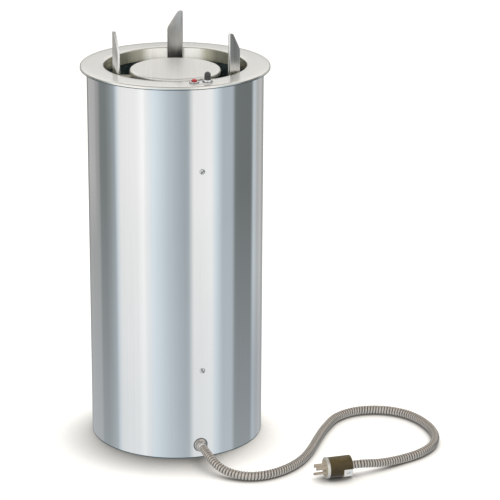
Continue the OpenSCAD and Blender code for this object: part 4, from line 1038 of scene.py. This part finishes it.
class MakePlug(bpy.types.Operator):
    """Plug with its face, pins, and the metal grip that holds the conduit"""

    bl_idname = "dispenser.make_plug"
    bl_label = "Plug"

    def execute(self, context):
        front, rear = -PLUG_FACE_T, -PLUG_FACE_T - PLUG_L
        notch, deep = rear + CLAMP_L + 0.0002, rear + PLUG_GRIP_L + 0.0003
        r, bore, round_r = PLUG_R - 0.0004, CONDUIT_R + 0.00005, 0.0015
        main = lathe([(0, notch), (r, notch), (r, front - 0.0006), (r - 0.0005, front), (0, front)], 96,
                     place=AT_PLUG)
        upper = [(0, deep), (bore, deep), (bore, rear + EDGE), (bore + EDGE, rear)]
        upper += arc((r - round_r, rear + round_r), round_r, -90, 0, 5) + [(r, notch), (0, notch)]
        half = lathe(upper, 48, place=AT_PLUG @ turned(90), turn=180)
        piece("plug_body_shell", together(main, half), CASING, ["plug_brown"], ("plug_body",),
              mirrored=False)
        band = [(0, front), (PLUG_R - EDGE, front), (PLUG_R, front + EDGE), (PLUG_R, -0.0007), (PLUG_R - 0.0007, 0),
                (PLUG_R - 0.0014, 0), (PLUG_R - 0.0019, -0.0009), (0, -0.0009)]
        inlay = ring(PLUG_R - 0.0021, 0.0012, -0.0010, -0.0002, steps=64, place=AT_PLUG)
        piece("plug_front", together(lathe(band, 96, place=AT_PLUG), (inlay, 1)), CASING,
              ["plug_band", "plug_cream"], ("plug_face",), mirrored=False)
        rooted, near = -0.001, 0.0002  # how deep the pins start, and where the blades' near edges lie
        blades = [block((near - BLADE_W, y - BLADE_T / 2, rooted), (near, y + BLADE_T / 2, BLADE_L), 0.0004, 3, AT_PLUG)
                  for y in (-BLADE_AT, BLADE_AT)]
        piece("plug_pins", together(*blades), CASING, ["contact_brass"], ("plug_blades",),
              mirrored=False)
        pin = [(0, rooted), (PIN_R, rooted), (PIN_R, PIN_L)] + arc((0, PIN_L), PIN_R, 0, 90, 8)
        piece("plug_ground", lathe(pin, 32, place=AT_PLUG @ moved(PIN_AT, 0, 0)), CASING, ["contact_brass"],
              ("plug_ground_pin",), mirrored=False)
        self.make_grip(rear, bore)
        return {"FINISHED"}

    def make_grip(self, rear, bore):
        """Block under the conduit, with brass shims where it meets the body, and a screw on either side."""
        gap = 0.0002
        trough = [(gap, -CLAMP_HALF_W), (gap, -bore)] + arc((0, 0), bore, -85, 85, 16)
        trough += [(gap, bore), (gap, CLAMP_HALF_W), (CLAMP_DEPTH, CLAMP_HALF_W), (CLAMP_DEPTH, -CLAMP_HALF_W)]
        corners = [0] * (len(trough) - 2) + [0.0012, 0.0012]
        grip = [slab(trough, CLAMP_L, corners, 0.0004, 2, AT_PLUG @ moved(0, 0, rear))]
        screws, end = [], rear + CLAMP_L
        for sign in (-1, 1):
            y = sorted((sign * (bore + 0.0004), sign * (CLAMP_HALF_W + 0.0002)))
            for low, high, depth in ((rear - 0.0001, end, 0.0008), (end - 0.0009, end + 0.0001, CLAMP_DEPTH - 0.001)):
                grip.append((block((0, y[0], low), (depth, y[1], high), 0.0002, 2, AT_PLUG), 1))
            seat = (AT_PLUG @ moved(CLAMP_DEPTH / 2, sign * CLAMP_HALF_W, rear + CLAMP_L / 2)
                    @ turned(-90 * sign, "X") @ turned(117))
            head = lathe(mm((0, 0.1), (3.4, 0.1), (3.4, 0.6), (2.8, 1.4), (1.5, 1.8), (0, 1.9)), 32)
            screws += [put(slotted(head, 0.0015, 0.0006, 1), seat), rod(0.0019, -0.0049, 0.0002, seat)]
        piece("plug_grip", together(*grip), CASING, ["clamp_plate", "shim_brass"], ("plug_clamp",),
              mirrored=False)
        piece("plug_grip_screws", together(*screws), CASING, ["clamp_plate", "slot_floor"], ("plug_screws",),
              mirrored=False)


class MakeSprings(bpy.types.Operator):
    """Three close-wound lifting springs, which on the real unit stretch as the carrier sinks; here they are built at
    rest length and ride on no body
    """

    bl_idname = "dispenser.make_springs"
    bl_label = "Lifting springs"

    def execute(self, context):
        wire, turns, per_turn = 0.0008, 74, 16
        coil_r = SPRING_R - wire
        for number, degrees in enumerate(ARM_ANGLES, 1):
            bm = bmesh.new()
            start = moved(coil_r, 0, SPRING_LOW + wire) @ turned(90, "X")
            made = bmesh.ops.create_circle(bm, cap_ends=True, radius=wire, segments=6, matrix=start)
            climb = (SPRING_HIGH - SPRING_LOW - 2 * wire) / (turns * per_turn)
            bmesh.ops.spin(bm, geom=made["verts"] + bm.edges[:] + bm.faces[:], cent=(0, 0, 0), axis=(0, 0, 1),
                           dvec=(0, 0, climb), angle=2 * math.pi * turns, steps=turns * per_turn, use_merge=False)
            bmesh.ops.recalc_face_normals(bm, faces=bm.faces)
            put(bm, at_polar(degrees, SPRING_CIRCLE_R))
            obj = piece("spring_%d" % number, bm, None, ["spring_wire"], smooth=80)
            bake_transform(obj)
            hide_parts("lift_spring_%d" % number)
        return {"FINISHED"}


class DressInside(bpy.types.Operator):
    """Finishes of the pieces inside the shell, which keep their CAD shapes"""

    bl_idname = "dispenser.dress_inside"
    bl_label = "Inner pieces"

    def execute(self, context):
        for name, nodes in {
            "liner_sheet": ("well_liner",),
            "pan_sheet": ("well_floor", "base_pan", "spring_hanger_ring", "liner_stays", "heater_clips",
                          "wiring_channel", "guide_brackets"),
            "carrier_sheet": ("upper_spider", "lower_spider"),
            "drawn_rod": ("guide_rods", "carrier_posts", "toggle_lever"),
            "screw_plate": ("channel_nuts", "gland_locknut", "carrier_screws"),
            "guard_steel": ("heater_guard",),
            "element_sheath": ("heater_element",),
            "washer_brass": ("friction_washers",),
            "black_plastic": ("limit_thermostat", "lamp_body", "switch_body"),
            "ceramic": ("terminal_block",),
            "nylon": ("spider_pads", "carrier_shoes"),
            "buffer_rubber": ("guide_rest_pads", "top_stops", "lower_buffers"),
            "wire_sleeve": ("wire_harness",),
        }.items():
            for node in nodes:
                dress(node, finish(name))
        return {"FINISHED"}


class DispenserPanel(bpy.types.Panel):
    """Lists the pieces that this script makes"""

    bl_idname = "VIEW3D_PT_dispenser"
    bl_label = "Plate Dispenser"
    bl_space_type = "VIEW_3D"
    bl_region_type = "UI"
    bl_category = "Dispenser"

    def draw(self, context):
        for operator in OPERATORS:
            self.layout.operator(operator.bl_idname, text=operator.bl_label)
        for name in SETTINGS:
            group = getattr(context.scene, name)
            box = self.layout.box()
            for key in group.bl_rna.properties.keys():
                if key not in ("rna_type", "name"):
                    box.prop(group, key)


SETTINGS = {
    "dispenser_steel": SteelSettings,
    "dispenser_sheet": SheetSettings,
    "dispenser_guides": GuideSettings,
    "dispenser_conduit": ConduitSettings,
    "dispenser_mouldings": MouldingSettings,
    "dispenser_stage": StageSettings,
}
OPERATORS = (MakeStage, MakeGland, MakePlug, MakeConduit, MakeRim, MakeShell, MakePlatform, MakeGuides, MakeControls,
             MakeShellScrews, MakeSprings, DressInside)


def register():
    for cls in (*SETTINGS.values(), *OPERATORS, DispenserPanel):
        bpy.utils.register_class(cls)
    for name, cls in SETTINGS.items():
        setattr(bpy.types.Scene, name, bpy.props.PointerProperty(type=cls))


def unregister():
    for name in SETTINGS:
        delattr(bpy.types.Scene, name)
    for cls in (DispenserPanel, *reversed(OPERATORS), *reversed(SETTINGS.values())):
        bpy.utils.unregister_class(cls)


def main():
    register()
    for operator in OPERATORS:
        area, name = operator.bl_idname.split(".")
        getattr(getattr(bpy.ops, area), name)()
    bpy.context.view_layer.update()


if __name__ == "__main__":
    main()
